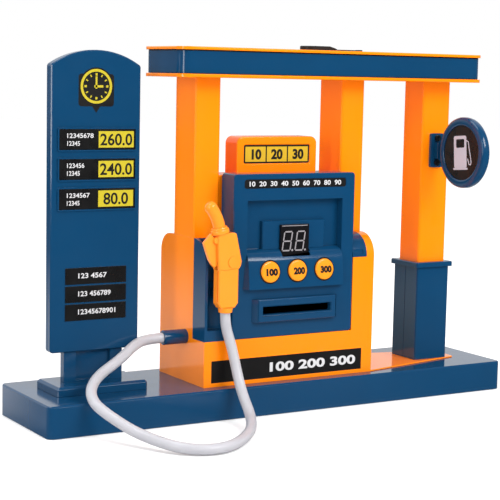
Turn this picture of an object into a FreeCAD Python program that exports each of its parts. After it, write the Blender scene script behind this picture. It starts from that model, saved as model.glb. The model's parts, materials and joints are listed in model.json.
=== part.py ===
import FreeCAD, Part
import math
import os

# Toy service station: a base, a price pylon, a pump between two pillars under a water-tank
# canopy, a third pillar with a blade sign, and a nozzle on a hose.
# Millimetres. X runs along the base to the right, -Y is the front, +Z is up.
# The origin is the middle of the base's underside.

V = FreeCAD.Vector
X_AXIS = V(1, 0, 0)
Y_AXIS = V(0, 1, 0)
Z_AXIS = V(0, 0, 1)

# Clearances
static_gap = 0.15
seat_gap = 0.3
running_gap = 0.4
pin_clearance = 0.05

# Mouldings in general
wall = 2.2
thin_wall = 1.6
edge_break = 0.6
boss_radius = 3.2

# Base
base_length = 367.0
base_depth = 82.5
base_height = 21.0
base_corner_radius = 4.0
base_edge_chamfer = 1.0
base_plate_thickness = 2.0
base_boss_inset = 11.5
base_boss_y = 31.0
base_rib_height = 5.0
base_rib_thickness = 1.4

# Screws: self-tapping, pan head
screw_radius = 1.3
screw_head_radius = 2.6
screw_head_height = 1.6
screw_length = 12.0
screw_hole_radius = screw_radius + pin_clearance
head_clearance = 0.4
small_sides = 8
visible_sides = 24

# Batteries: three AA cells side by side along X
cell_radius = 7.25
cell_length = 50.5
cell_pitch = 14.9
cell_count = 3
cell_sides = 16
cell_nub_radius = 2.6
cell_nub_height = 1.0
battery_x = 0.0
battery_box_wall = 1.2
battery_door_length = 54.0
battery_door_tab = 14.0
contact_depth = 2.4
contact_plate_thickness = 0.4

# Power switch under the base
switch_x = 72.0
switch_travel = 4.0
switch_knob_length = 5.0
switch_knob_width = 4.0
switch_knob_recess = 0.6

# Island plate right of the pump
island_thickness = 0.9
island_half_width_left = 32.0
island_half_width_right = 12.6
island_corner_radius = 3.0

# Pump case: a side profile drawn along X
pump_width = 137.4
pump_center_x = 1.2
pump_depth = 64.4
pump_height = 99.8
pump_front_radius = 16.0
pump_back_radius = 12.5
pump_block_height = 31.3
pump_left = pump_center_x - pump_width / 2
pump_right = pump_center_x + pump_width / 2
pump_front = -pump_depth / 2
pump_back = pump_depth / 2
pump_top = base_height + pump_height
block_top = base_height + pump_block_height

# What stands along the base: pylon and right pillar near the middle of the deck at each side
pylon_x = (pump_left - base_length / 2) / 2 - 9.5
right_pillar_x = (pump_right + base_length / 2) / 2 + 10.3
island_right_x = right_pillar_x + 23.5
base_boss_xs = (base_boss_inset - base_length / 2, pump_left - 20.5,
                pump_right + 22.1, base_length / 2 - base_boss_inset)
base_rib_xs = (pylon_x + 5.0, pump_left + 15.5, pump_right - 19.9, right_pillar_x - 25.0)

# Back cover of the pump with the loudspeaker's grille
cover_width = 104.0
cover_height = 66.0
cover_center_z = 64.0
cover_corner_radius = 5.0
cover_lip = 3.0
speaker_radius = 18.0
speaker_depth = 7.0
speaker_x = -22.0
speaker_z = 64.0
speaker_sides = 24
speaker_rim = 1.6
grille_radius = 14.5
grille_slot_height = 1.6
grille_pitch = 4.0
grille_rows = 3

# Pump front: blue moulding with holster, fascia and right ear
front_back_y = -15.6
holster_wall = 2.0
holster_width = 20.9
holster_floor_top = 59.7
holster_floor_thickness = 2.0
fascia_right = 51.6
fascia_top = 164.6
fascia_corner_radius = 2.5
fascia_wall = 2.0
recess_width = 77.2
recess_center_x = 2.7
recess_top = 146.6
recess_depth = 6.3
name_strip_width = 82.6
name_strip_height = 6.6
name_strip_z = 157.8
name_strip_depth = 0.4
display_center_x = 4.2
display_width = 22.6
display_height = 21.4
display_top = 129.2
display_depth = 8.0
display_block_width = 50.7
display_block_center_x = 3.6
display_block_bottom = 112.0
display_block_top = 132.0
display_block_relief = 3.0
ear_right = 63.4
ear_bottom = 104.6
ear_thickness = 1.2
ear_pad_width = 8.3
ear_pad_height = 3.4
ear_pad_z = 108.2
side_step_width = 1.7
side_step_depth = 5.0
side_step_drop = 5.6

# Hook in the holster: a peg that slopes up to the front and carries the nozzle
hook_x = -55.0
hook_block_width = 14.0
hook_block_depth = 5.8
hook_block_height = 32.0
peg_width = 7.0
peg_height = 5.0
peg_tip_y = -38.2
peg_tip_z = 88.0
peg_slope_deg = 15.0

# Button console
console_bottom = 86.3
console_top = 113.3
console_flat = 18.0
console_reach = 4.3
console_wall = 1.8
button_radius = 7.4
button_pitch = 22.0
button_center_x = 3.05
button_z = 97.9
button_tilt_deg = 6.0
button_stand_out = 1.6
button_travel = 1.2
button_crown = 0.7
button_flange_radius = 8.8
flange_sides = 12
button_flange_thickness = 1.0
button_stem_radius = 2.4
button_clearance = 0.35

# Card slot
slot_width = 55.0
slot_height = 5.3
slot_z = 71.35
slot_center_x = 3.5
slot_depth = 18.0
card_duct_wall = 1.6
bezel_margin_x = 4.2
bezel_margin_z = 5.35
bezel_reach = 4.3
bezel_chamfer = 0.8

# Circuit board behind the fascia
board_width = 72.0
board_bottom = 84.0
board_top = 134.0
board_thickness = 1.6
board_front_y = -22.0
dome_radius = 3.6
dome_height = 2.2
mat_thickness = 1.0

# Wire loom from the battery box to the circuit board
loom_x = battery_x - 22.5
loom_y = -14.0
loom_radius = 1.2
loom_rise = 8.0

# Pillars
pillar_width = 19.4
pillar_depth = 28.6
pillar_center_y = -0.3
pillar_wall = 2.0
pillar_edge_chamfer = 1.0
pillar_spigot_length = 14.0
pillar_top = 228.5
right_pillar_width = 24.8
right_pillar_depth = 23.6
left_pillar_x = pump_left + pillar_width / 2
middle_pillar_x = pump_right - pillar_width / 2
spigot_inset = wall + static_gap
pillar_screw_dx = 4.5
pillar_screw_dy = 8.0

# Socket column under the right pillar
column_width = 29.4
column_depth = 29.2
column_top = 91.5
column_wall = 2.0
column_edge_chamfer = 0.9
column_cap_overhang = 2.1
column_cap_thickness = 3.8
column_cap_chamfer = 1.2
column_foot = base_height + island_thickness

# Canopy: tray, tank band and lid
canopy_length = 245.0
canopy_depth = 56.3
canopy_center_x = (left_pillar_x + right_pillar_x) / 2 + 1.0
canopy_corner_radius = 4.0
flange_thickness = 2.9
flange_overhang = 1.5
band_height = 14.4
tank_wall = 2.0
lid_rim_depth = 3.0
outlet_bore = 1.6
outlet_radius = 2.8
outlet_bottom = pillar_top - pillar_wall - 4.0
band_bottom = pillar_top + flange_thickness
band_top = band_bottom + band_height
lid_top = band_top + flange_thickness

# Filler plug on the lid, on a strap that hinges at its anchor
plug_length = 28.6
plug_width = 15.0
plug_height = 3.0
plug_left = canopy_center_x - 15.7
plug_stem_length = 20.0
plug_stem_width = 9.0
plug_stem_depth = 3.6
plug_stem_taper = 1.0
strap_width = 4.0
strap_thickness = 1.0
strap_hinge_x = plug_left + 46.1
anchor_length = 4.0
anchor_width = 6.0
anchor_height = 1.5

# Pump head between the pillars, and the marquee on it
head_depth = 26.0
head_top = 163.0
marquee_width = 65.2
marquee_depth = 16.9
marquee_top = 188.7
marquee_center_x = 1.5
marquee_radius = 5.0
marquee_window_width = 54.2
marquee_window_height = 13.5
marquee_window_z = 176.45
marquee_window_depth = 0.8
marquee_tongue = 4.0

# Price pylon
pylon_width = 63.8
pylon_thickness = 7.9
pylon_bottom = 47.5
pylon_shoulder = 235.1
pylon_apex = 244.9
pylon_corner_radius = 2.5
pylon_wall = 1.6
price_plate_width = 56.7
price_plate_height = 15.6
price_plate_pitch = 19.4
price_plate_top_z = 187.0
price_plate_relief = 0.9
price_plate_radius = 1.5
price_plate_offset = 0.9
price_plate_count = 3
price_frame_width = 1.0
price_inlay_thickness = 0.5
service_strip_width = 44.0
service_strip_height = 10.9
service_strip_pitch = 12.0
service_strip_top_z = 97.6
service_strip_relief = 0.3
service_strip_offset = 0.5
service_strip_count = 3
post_width = 8.8
post_spacing = 33.5
post_depth = 5.5
post_front_y = -2.0
post_tongue_top = 112.0
foot_width = 65.3
foot_depth = 35.0
foot_height = 6.2
foot_offset_x = 0.5
foot_offset_y = 0.25
foot_corner_chamfer = 1.2
foot_slope = 1.6

# Blade sign on the right pillar
sign_x = right_pillar_x
sign_y = -45.75
sign_z = 178.3
sign_radius = 25.5
sign_thickness = 7.0
sign_face_sides = 48
sign_face_radius = 19.5
sign_face_thickness = 1.2
sign_face_recess = 0.8
bracket_width = 11.2
bracket_height = 25.0
bracket_plate_thickness = 2.2
bracket_web_width = 5.0
bracket_screw_spacing = 18.0

# Nozzle
nozzle_y = -37.75
nozzle_thickness = 8.0
nozzle_wall = 1.3
grip_left = -62.4
grip_right = -47.3
grip_bottom = 79.1
grip_top = 101.8
neck_bottom = 76.0
body_top = 126.6
nozzle_edge = 0.7
collar_bottom_radius = 4.6
collar_flare = 0.5
collar_height = 3.4
spout_radius = 4.2
spout_bore = 2.6
spout_mouth_depth = 6.0
spout_root = 6.5
spout_root_gap = 0.05
spring_room_length = 9.0
spout_start = (-59.6, 124.6)
spout_lean_deg = 14.0
spout_bend_deg = 36.0
spout_bend_radius = 27.0
spout_ring_radius = 6.4
spout_ring_height = 3.6
trigger_thickness = 3.0
trigger_pivot = (-63.6, 121.6)
trigger_pin_radius = 1.0
cap_x = -52.2
cap_radius = 3.8
cap_relief = 0.6
valve_z = 106.9
body_relief = 0.6
plunger_x = -62.1
plunger_radius = 1.0
plunger_length = 8.2
plunger_head_length = 0.8
guide_x = (-57.0, -54.4)
spring_outer_radius = 1.6

# Hose
hose_radius = 3.5
hose_sides = 8
connector_radius = 5.05
connector_length = 17.6
connector_y = -4.95
connector_z = 52.3
connector_neck_radius = 3.3
riser_radius = 3.8
riser_height = 12.0
riser_bore = 2.0
water_bore = 1.6
grip_bore = 1.0
feed_radius = 2.6
feed_x = left_pillar_x

# Reach of a cut that runs out of the part
far = 400.0

parts = {}


def block(x, y, z):
    """Box between the low and high value of each pair."""
    return Part.makeBox(x[1] - x[0], y[1] - y[0], z[1] - z[0], V(x[0], y[0], z[0]))


def span(centre, width):
    return (centre - width / 2, centre + width / 2)


def grow(pair, amount):
    return (pair[0] - amount, pair[1] + amount)


def rod(x, y, z, radius, length, axis=Z_AXIS):
    return Part.makeCylinder(radius, length, V(x, y, z), axis)


def upright_edges(shape):
    return [e for e in shape.Edges if edge_runs(e, Z_AXIS)]


def edge_runs(edge, axis):
    """True where a straight edge runs along the axis."""
    if len(edge.Vertexes) != 2:
        return False
    along = edge.Vertexes[1].Point - edge.Vertexes[0].Point
    return along.Length > 0 and along.cross(axis).Length < 1e-6 * along.Length


def edges_at(shape, axis, level):
    """Edges that lie wholly in the plane square to the axis at that level."""
    found = []
    for edge in shape.Edges:
        box = edge.BoundBox
        low = V(box.XMin, box.YMin, box.ZMin).dot(axis)
        high = V(box.XMax, box.YMax, box.ZMax).dot(axis)
        if abs(low - level) < 1e-4 and abs(high - level) < 1e-4:
            found.append(edge)
    return found


def rounded_block(x, y, z, radius):
    """Box with its upright edges rounded."""
    solid = block(x, y, z)
    return solid.makeFillet(radius, upright_edges(solid))


def chamfered_block(x, y, z, size):
    """Box with its upright edges chamfered."""
    solid = block(x, y, z)
    return solid.makeChamfer(size, upright_edges(solid))


def face_block(x, y, z, radius):
    """Box with the four edges along Y rounded, for windows and plates on a front."""
    solid = block(x, y, z)
    return solid.makeFillet(radius, [e for e in solid.Edges if edge_runs(e, Y_AXIS)])


def polygon_prism(points, y0, y1):
    """Straight-sided outline in the XZ plane, drawn from y0 to y1."""
    corners = [V(x, y0, z) for x, z in points]
    face = Part.Face(Part.makePolygon(corners + corners[:1]))
    return face.extrude(V(0, y1 - y0, 0))


def ring_at(start, axis, radius, sides):
    """Polygon square to an axis, its corners on a circle of that radius."""
    across = axis.cross(Y_AXIS if abs(axis.y) < 0.9 else X_AXIS).normalize()
    up = axis.cross(across)
    turns = [2 * math.pi * (i + 0.5) / sides for i in range(sides)]
    points = [start + (across * math.cos(t) + up * math.sin(t)) * radius for t in turns]
    return Part.makePolygon(points + points[:1])


def stud(x, y, z, radius, length, axis=Z_AXIS, sides=small_sides):
    """Prism with its corners on a circle of that radius: a small screw, boss or stem."""
    return Part.Face(ring_at(V(x, y, z), axis, radius, sides)).extrude(axis * length)


def frustum(start, axis, length, radii, sides):
    """Tapered prism along an axis, between two radii."""
    ends = [ring_at(start, axis, radii[0], sides),
            ring_at(start + axis * length, axis, radii[1], sides)]
    return Part.makeLoft(ends, True, True)


def bore(x, y, z, radius, length, axis=Z_AXIS, sides=small_sides):
    """Prism with its flats on a circle of that radius: the small hole that repeats."""
    return stud(x, y, z, radius / math.cos(math.pi / sides), length, axis, sides)


def screw(x, y, z, direction, length=screw_length):
    """Screw whose head seats at the point and whose shank runs along the direction."""
    head = stud(x, y, z, screw_head_radius, screw_head_height, direction * -1)
    return joined([head, stud(x, y, z, screw_radius, length, direction)])


def joined(shapes):
    solid = shapes[0].fuse(shapes[1:])
    return solid.removeSplitter()


# Spans and heights that follow from the sizes above
base_inside_x = grow((-base_length / 2, base_length / 2), -wall)
base_inside_y = grow((-base_depth / 2, base_depth / 2), -wall)
base_ceiling = base_height - wall
battery_width = cell_count * cell_pitch + 2 * battery_box_wall
battery_length = cell_length + 2 * contact_depth + 2 * battery_box_wall
card_duct_x = grow(span(slot_center_x, slot_width), card_duct_wall)
recess_x = span(recess_center_x, recess_width)
recess_back_y = pump_front + recess_depth
fascia_left = pump_left + holster_width
display_x = span(display_center_x, display_width)
display_z = (display_top - display_height, display_top)
button_axis = V(0, -math.cos(math.radians(button_tilt_deg)),
                math.sin(math.radians(button_tilt_deg)))


def base_top_holes(radius):
    """Holes in the base's top for the screws that come up into the pieces on it."""
    return [bore(x, y, 0, radius, base_height + 40) for x, y in upper_screw_places()]


def upper_screw_places():
    places = [(pylon_x - post_spacing / 2, 0.0), (pylon_x + post_spacing / 2, 0.0)]
    for x in (pump_left + 12.0, pump_right - 12.0):
        places.append((x, pump_back - 9.0))
        places.append((x, pump_front + 9.0))
    places.append((right_pillar_x, -6.0))
    places.append((right_pillar_x, 6.0))
    return places


def make_base():
    x = (-base_length / 2, base_length / 2)
    y = (-base_depth / 2, base_depth / 2)
    outside = rounded_block(x, y, (0, base_height), base_corner_radius)
    outside = outside.makeChamfer(base_edge_chamfer, edges_at(outside, Z_AXIS, base_height))
    inside = block(base_inside_x, base_inside_y, (-1, base_ceiling))
    shell = outside.cut(inside)
    bosses = []
    for bx in base_boss_xs:
        for by in (-base_boss_y, base_boss_y):
            bosses.append(stud(bx, by, base_plate_thickness + static_gap, boss_radius,
                               base_ceiling - base_plate_thickness))
    for rx in base_rib_xs:
        bosses.append(block(span(rx, base_rib_thickness), grow(base_inside_y, 0.5),
                            (base_ceiling - base_rib_height, base_ceiling + 0.5)))
    shell = joined([shell] + bosses)
    holes = base_top_holes(screw_hole_radius)
    for bx in base_boss_xs:
        for by in (-base_boss_y, base_boss_y):
            holes.append(bore(bx, by, 0, screw_hole_radius, screw_length + 1.0))
    holes.append(bore(loom_x, loom_y, base_ceiling - 1, loom_radius + running_gap, wall + 2))
    parts["base_shell"] = shell.cut(holes)

    plate = block(grow(base_inside_x, -static_gap), grow(base_inside_y, -static_gap),
                  (0, base_plate_thickness))
    cuts = [face_down_door(static_gap)]
    for bx in base_boss_xs:
        for by in (-base_boss_y, base_boss_y):
            cuts.append(bore(bx, by, -1, screw_head_radius + head_clearance,
                             1 + screw_head_height))
            cuts.append(bore(bx, by, -1, screw_hole_radius + static_gap, 4))
    cuts.append(block(grow(span(switch_x, switch_knob_length + switch_travel), running_gap),
                      span(0, switch_knob_width + 2 * running_gap), (-1, 4)))
    cuts.append(bore(battery_x, door_screw_y(), -1, screw_hole_radius + static_gap, 4))
    parts["base_plate"] = plate.cut(cuts)
    screws = []
    for bx in base_boss_xs:
        for by in (-base_boss_y, base_boss_y):
            screws.append(screw(bx, by, screw_head_height, Z_AXIS, 9.0))
    screws.append(screw(battery_x, door_screw_y(), screw_head_height, Z_AXIS, 5.0))
    parts["base_plate_screws"] = Part.makeCompound(screws)
    upper = [screw(px, py, base_ceiling, Z_AXIS) for px, py in upper_screw_places()]
    parts["base_top_screws"] = Part.makeCompound(upper)


def door_screw_y():
    return -battery_width / 2 - 5.0


def face_down_door(margin):
    """The battery door's outline: a rounded plate with a screw tab at the front."""
    x = grow(span(battery_x, battery_door_length), margin)
    y = grow(span(0, battery_width - 2.0), margin)
    plate = block(x, y, (-1, base_plate_thickness + 1))
    tab = block(grow(span(battery_x, battery_door_tab), margin), (door_screw_y() - 4.0 - margin, 0),
                (-1, base_plate_thickness + 1))
    return plate.fuse(tab).removeSplitter()


def make_battery_bay():
    bottom = base_plate_thickness + static_gap
    top = base_ceiling - static_gap
    x = span(battery_x, battery_length)
    y = span(0, battery_width)
    tray = block(x, y, (bottom, top))
    tray = tray.cut(block(grow(x, -battery_box_wall), grow(y, -battery_box_wall),
                          (bottom - 1, top - battery_box_wall)))
    parts["battery_box"] = tray.cut(bore(loom_x, loom_y, top - 3, loom_radius + running_gap, 5))

    cell_z = bottom + 0.2 + cell_radius
    cells = []
    contacts = []
    for i in range(cell_count):
        cy = (i - (cell_count - 1) / 2) * cell_pitch
        way = 1 if i % 2 == 0 else -1
        nub_end = battery_x + way * cell_length / 2
        body = stud(battery_x - way * cell_length / 2, cy, cell_z, cell_radius,
                    cell_length - cell_nub_height, X_AXIS * way, cell_sides)
        nub = stud(nub_end, cy, cell_z, cell_nub_radius, cell_nub_height + 0.5, X_AXIS * -way)
        cells.append(joined([body, nub]))
        plate_x = battery_x + way * (battery_length / 2 - battery_box_wall)
        contacts.append(contact_plate(plate_x, -way, cy, cell_z))
        contacts.append(contact_plate(2 * battery_x - plate_x, way, cy, cell_z))
        contacts.append(stud(2 * battery_x - plate_x + way * contact_plate_thickness, cy, cell_z,
                             cell_nub_radius, contact_depth - contact_plate_thickness,
                             X_AXIS * way))
    parts["battery_cells"] = Part.makeCompound(cells)
    parts["battery_contacts"] = Part.makeCompound(contacts)

    door = face_down_door(0).common(block((-far, far), (-far, far), (0, base_plate_thickness)))
    cuts = [bore(battery_x, door_screw_y(), -1, screw_head_radius + head_clearance,
                 1 + screw_head_height),
            bore(battery_x, door_screw_y(), -1, screw_hole_radius + static_gap, 5)]
    for i in range(5):
        grip_y = battery_width / 2 - 8.0 - 2.4 * i
        cuts.append(block(span(battery_x, 18.0), span(grip_y, 1.0), (-1, 0.5)))
    parts["battery_door"] = door.cut(cuts)


def contact_plate(x, way, y, z):
    reach = sorted((x, x + way * contact_plate_thickness))
    return block(reach, span(y, 9.0), span(z, 9.0))


def make_power_switch():
    knob_x = span(switch_x - switch_travel / 2, switch_knob_length)
    top = base_plate_thickness + 1.4
    knob = block(knob_x, span(0, switch_knob_width), (switch_knob_recess, top))
    slider = block(grow(knob_x, 1.0), span(0, switch_knob_width + 3.0), (top, top + 1.4))
    for i in (-1, 0, 1):
        notch_x = span((knob_x[0] + knob_x[1]) / 2 + 1.4 * i, 0.6)
        knob = knob.cut(block(notch_x, (-10, 10), (0, switch_knob_recess + 0.5)))
    parts["power_knob"] = knob.fuse(slider).removeSplitter()

    room_x = grow(span(switch_x, switch_knob_length + 2.0 + switch_travel), running_gap)
    room_y = span(0, switch_knob_width + 3.0 + 2 * running_gap)
    room_z = (base_plate_thickness - 1, top + 1.4 + running_gap)
    body = block(grow(room_x, 2.0), grow(room_y, 1.6), (base_plate_thickness, 9.0))
    parts["power_switch"] = body.cut(block(room_x, room_y, room_z))


def case_section(x, inset, bottom):
    """Side profile of the pump case in the YZ plane, drawn in by the inset."""
    front = pump_front + inset
    back = pump_back - inset
    top = pump_top - inset
    rf = pump_front_radius - inset
    rb = pump_back_radius - inset
    turn = math.sqrt(0.5)
    edges = [
        Part.LineSegment(V(x, front, bottom), V(x, front, top - rf)).toShape(),
        Part.Arc(V(x, front, top - rf),
                 V(x, front + rf - rf * turn, top - rf + rf * turn),
                 V(x, front + rf, top)).toShape(),
        Part.LineSegment(V(x, front + rf, top), V(x, back - rb, top)).toShape(),
        Part.Arc(V(x, back - rb, top),
                 V(x, back - rb + rb * turn, top - rb + rb * turn),
                 V(x, back, top - rb)).toShape(),
        Part.LineSegment(V(x, back, top - rb), V(x, back, bottom)).toShape(),
        Part.LineSegment(V(x, back, bottom), V(x, front, bottom)).toShape(),
    ]
    return Part.Face(Part.Wire(edges))


def case_prism(x, inset, bottom):
    return case_section(x[0], inset, bottom).extrude(V(x[1] - x[0], 0, 0))


def pillar_socket_cuts():
    cuts = []
    for px in (left_pillar_x, middle_pillar_x):
        cuts.append(block(grow(span(px, pillar_width - 2 * spigot_inset), static_gap),
                          grow(span(pillar_center_y, pillar_depth - 2 * spigot_inset), static_gap),
                          (pump_top - 5, pump_top + 1)))
    return cuts


def make_pump_case():
    x = (pump_left, pump_right)
    solid = case_prism(x, 0, base_height)
    split_x = fascia_right + static_gap
    front_room = block((pump_left - 1, split_x), (pump_front - 1, front_back_y + static_gap),
                       (block_top, pump_top + 1))
    solid = solid.cut(front_room)
    hollow = case_prism(grow(x, -wall), wall, base_height - 1)
    keep = block((pump_left - 1, split_x + wall), (pump_front - 1, front_back_y + static_gap),
                 (block_top - wall, pump_top + 1))
    solid = solid.cut(hollow.cut(keep))
    ear = ear_shell(ear_thickness + static_gap, static_gap)
    solid = solid.cut(ear)
    cover_x = span(pump_center_x, cover_width)
    cover_z = span(cover_center_z, cover_height)
    opening = face_block(grow(cover_x, -cover_lip), (pump_back - 6, pump_back + 1),
                         grow(cover_z, -cover_lip), cover_corner_radius - cover_lip / 2)
    rebate = face_block(grow(cover_x, static_gap), (pump_back - wall / 2, pump_back + 1),
                        grow(cover_z, static_gap), cover_corner_radius)
    bosses = []
    for bx, by in upper_screw_places()[2:6]:
        bosses.append(stud(bx, by, base_height, boss_radius, 18.0))
        side = pump_left if bx < pump_center_x else pump_right
        reach = sorted((bx, side + math.copysign(1.0, bx - side)))
        bosses.append(block(reach, span(by, 1.6), (base_height, base_height + 16.0)))
    for cx, cz in cover_screw_places():
        bosses.append(stud(cx, pump_back - wall - 8.0, cz, boss_radius, 8.5, Y_AXIS))
    solid = joined([solid.cut([opening, rebate])] + bosses)
    holes = pillar_socket_cuts()
    for bx, by in upper_screw_places()[2:6]:
        holes.append(bore(bx, by, base_height - 1, screw_hole_radius, screw_length + 2))
    for cx, cz in cover_screw_places():
        holes.append(bore(cx, pump_back - 12.0, cz, screw_hole_radius, 14.0, Y_AXIS))
    holes.append(bore(pump_left - 1, connector_y, connector_z, connector_neck_radius + static_gap,
                     wall + 2, X_AXIS))
    parts["pump_case"] = solid.cut(holes)


def cover_screw_places():
    dx = cover_width / 2 - 1.0
    dz = cover_height / 2 - 12.0
    return [(pump_center_x + sx * (dx - 1.0), cover_center_z + sz * dz)
            for sx in (-1, 1) for sz in (-1, 1)]


def make_back_cover():
    cover_x = span(pump_center_x, cover_width)
    cover_z = span(cover_center_z, cover_height)
    outer = face_block(cover_x, (pump_back - wall / 2, pump_back), cover_z, cover_corner_radius)
    inner = face_block(grow(cover_x, -cover_lip - static_gap),
                       (pump_back - wall, pump_back - wall / 2 + 0.1),
                       grow(cover_z, -cover_lip - static_gap), cover_corner_radius - cover_lip / 2)
    ring = stud(speaker_x, pump_back - wall - 3.0, speaker_z,
                (speaker_radius + static_gap) / math.cos(math.pi / speaker_sides) + speaker_rim,
                3.1, Y_AXIS, speaker_sides)
    ring = ring.cut(bore(speaker_x, pump_back - wall - 4.0, speaker_z,
                         speaker_radius + static_gap, 4.0, Y_AXIS, speaker_sides))
    for cx, cz in cover_screw_places():
        inner = inner.cut(bore(cx, pump_back - wall - 1, cz, boss_radius + static_gap,
                               wall / 2 + 1, Y_AXIS))
    cover = joined([outer, inner, ring])
    cuts = []
    for row in range(-grille_rows, grille_rows + 1):
        offset = row * grille_pitch
        half = math.sqrt(grille_radius ** 2 - offset ** 2)
        cuts.append(block(span(speaker_x, 2 * half), (pump_back - 4, pump_back + 2),
                          span(speaker_z + offset, grille_slot_height)))
    for cx, cz in cover_screw_places():
        cuts.append(bore(cx, pump_back - 4, cz, screw_hole_radius + static_gap, 6.0, Y_AXIS))
    parts["pump_back_cover"] = cover.cut(cuts)
    seats = [screw(cx, pump_back, cz, Y_AXIS * -1, 9.0) for cx, cz in cover_screw_places()]
    parts["back_cover_screws"] = Part.makeCompound(seats)

    front = pump_back - wall - speaker_depth
    frame = stud(speaker_x, pump_back - wall - 2.0, speaker_z, speaker_radius, 2.0, Y_AXIS,
                 speaker_sides)
    basket = stud(speaker_x, front + 2.0, speaker_z, speaker_radius * 0.8, 3.0, Y_AXIS,
                  speaker_sides)
    magnet = stud(speaker_x, front, speaker_z, speaker_radius / 2, 2.1, Y_AXIS, speaker_sides)
    parts["speaker"] = joined([frame, basket, magnet])


def ear_shell(thickness, margin):
    """Skin on the case's right shoulder that continues the pump front past the fascia."""
    x = (fascia_right - margin, ear_right + margin)
    outer = case_prism(x, 0, base_height)
    core = case_prism(grow(x, 1), thickness, base_height)
    window = block(grow(x, 1), (pump_front - 1, front_back_y + margin),
                   (ear_bottom - margin, pump_top + 1))
    return outer.cut(core).common(window)


def console_profile():
    """Side outline of the button console: a leaning flat that one arc rolls back to the recess."""
    lean = math.radians(button_tilt_deg)
    bottom = V(0, pump_front - console_reach, console_bottom)
    knee = V(0, bottom.y + console_flat * math.sin(lean),
             console_bottom + console_flat * math.cos(lean))
    top = V(0, pump_front + recess_depth - static_gap, console_top)
    chord = top - knee
    turn = math.atan2(chord.y, chord.z) - lean
    radius = chord.Length / (2 * math.sin(turn))
    outward = V(0, -math.cos(lean + turn), math.sin(lean + turn))
    middle = knee + chord * 0.5 + outward * (radius - radius * math.cos(turn))
    edges = [Part.LineSegment(bottom, knee).toShape(), Part.Arc(knee, middle, top).toShape()]
    return edges, top, bottom


def console_prism(x, back_y):
    edges, top, bottom = console_profile()
    edges.append(Part.LineSegment(bottom, V(0, back_y, bottom.z)).toShape())
    edges.append(Part.LineSegment(V(0, back_y, bottom.z), V(0, back_y, top.z)).toShape())
    if abs(back_y - top.y) > 1e-6:
        edges.append(Part.LineSegment(V(0, back_y, top.z), top).toShape())
    face = Part.Face(Part.Wire(Part.__sortEdges__(edges)))
    solid = face.extrude(V(x[1] - x[0], 0, 0))
    solid.translate(V(x[0], 0, 0))
    return solid


def button_centers():
    return [button_center_x + i * button_pitch for i in (-1, 0, 1)]


def on_button_axis(x, distance):
    """Point on a button's axis, at a distance outward from the console's skin."""
    lean = math.radians(button_tilt_deg)
    skin_y = pump_front - console_reach + (button_z - console_bottom) * math.tan(lean)
    return V(x, skin_y, button_z) + button_axis * distance


def button_stem_reach():
    """How far behind the console's skin a stem ends, to clear its dome when pressed."""
    lean = math.radians(button_tilt_deg)
    dome_top = board_front_y - mat_thickness - dome_height
    room = dome_top - seat_gap - button_stem_radius * math.sin(lean) - on_button_axis(0, 0).y
    return room / math.cos(lean) - button_travel


def hook_peg(margin, front_y, back_y):
    """Sloping peg, or with a margin the socket for it, between two levels of Y."""
    slope = math.radians(peg_slope_deg)
    half = (peg_height / 2 + margin) / math.cos(slope)
    x = hook_x - peg_width / 2 - margin
    ends = [(y, peg_tip_z - (y - peg_tip_y) * math.tan(slope)) for y in (front_y, back_y)]
    corners = [V(x, y, z + way * half) for (y, z), way in zip(ends + ends[::-1], (-1, -1, 1, 1))]
    face = Part.Face(Part.makePolygon(corners + corners[:1]))
    return face.extrude(V(peg_width + 2 * margin, 0, 0))


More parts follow.
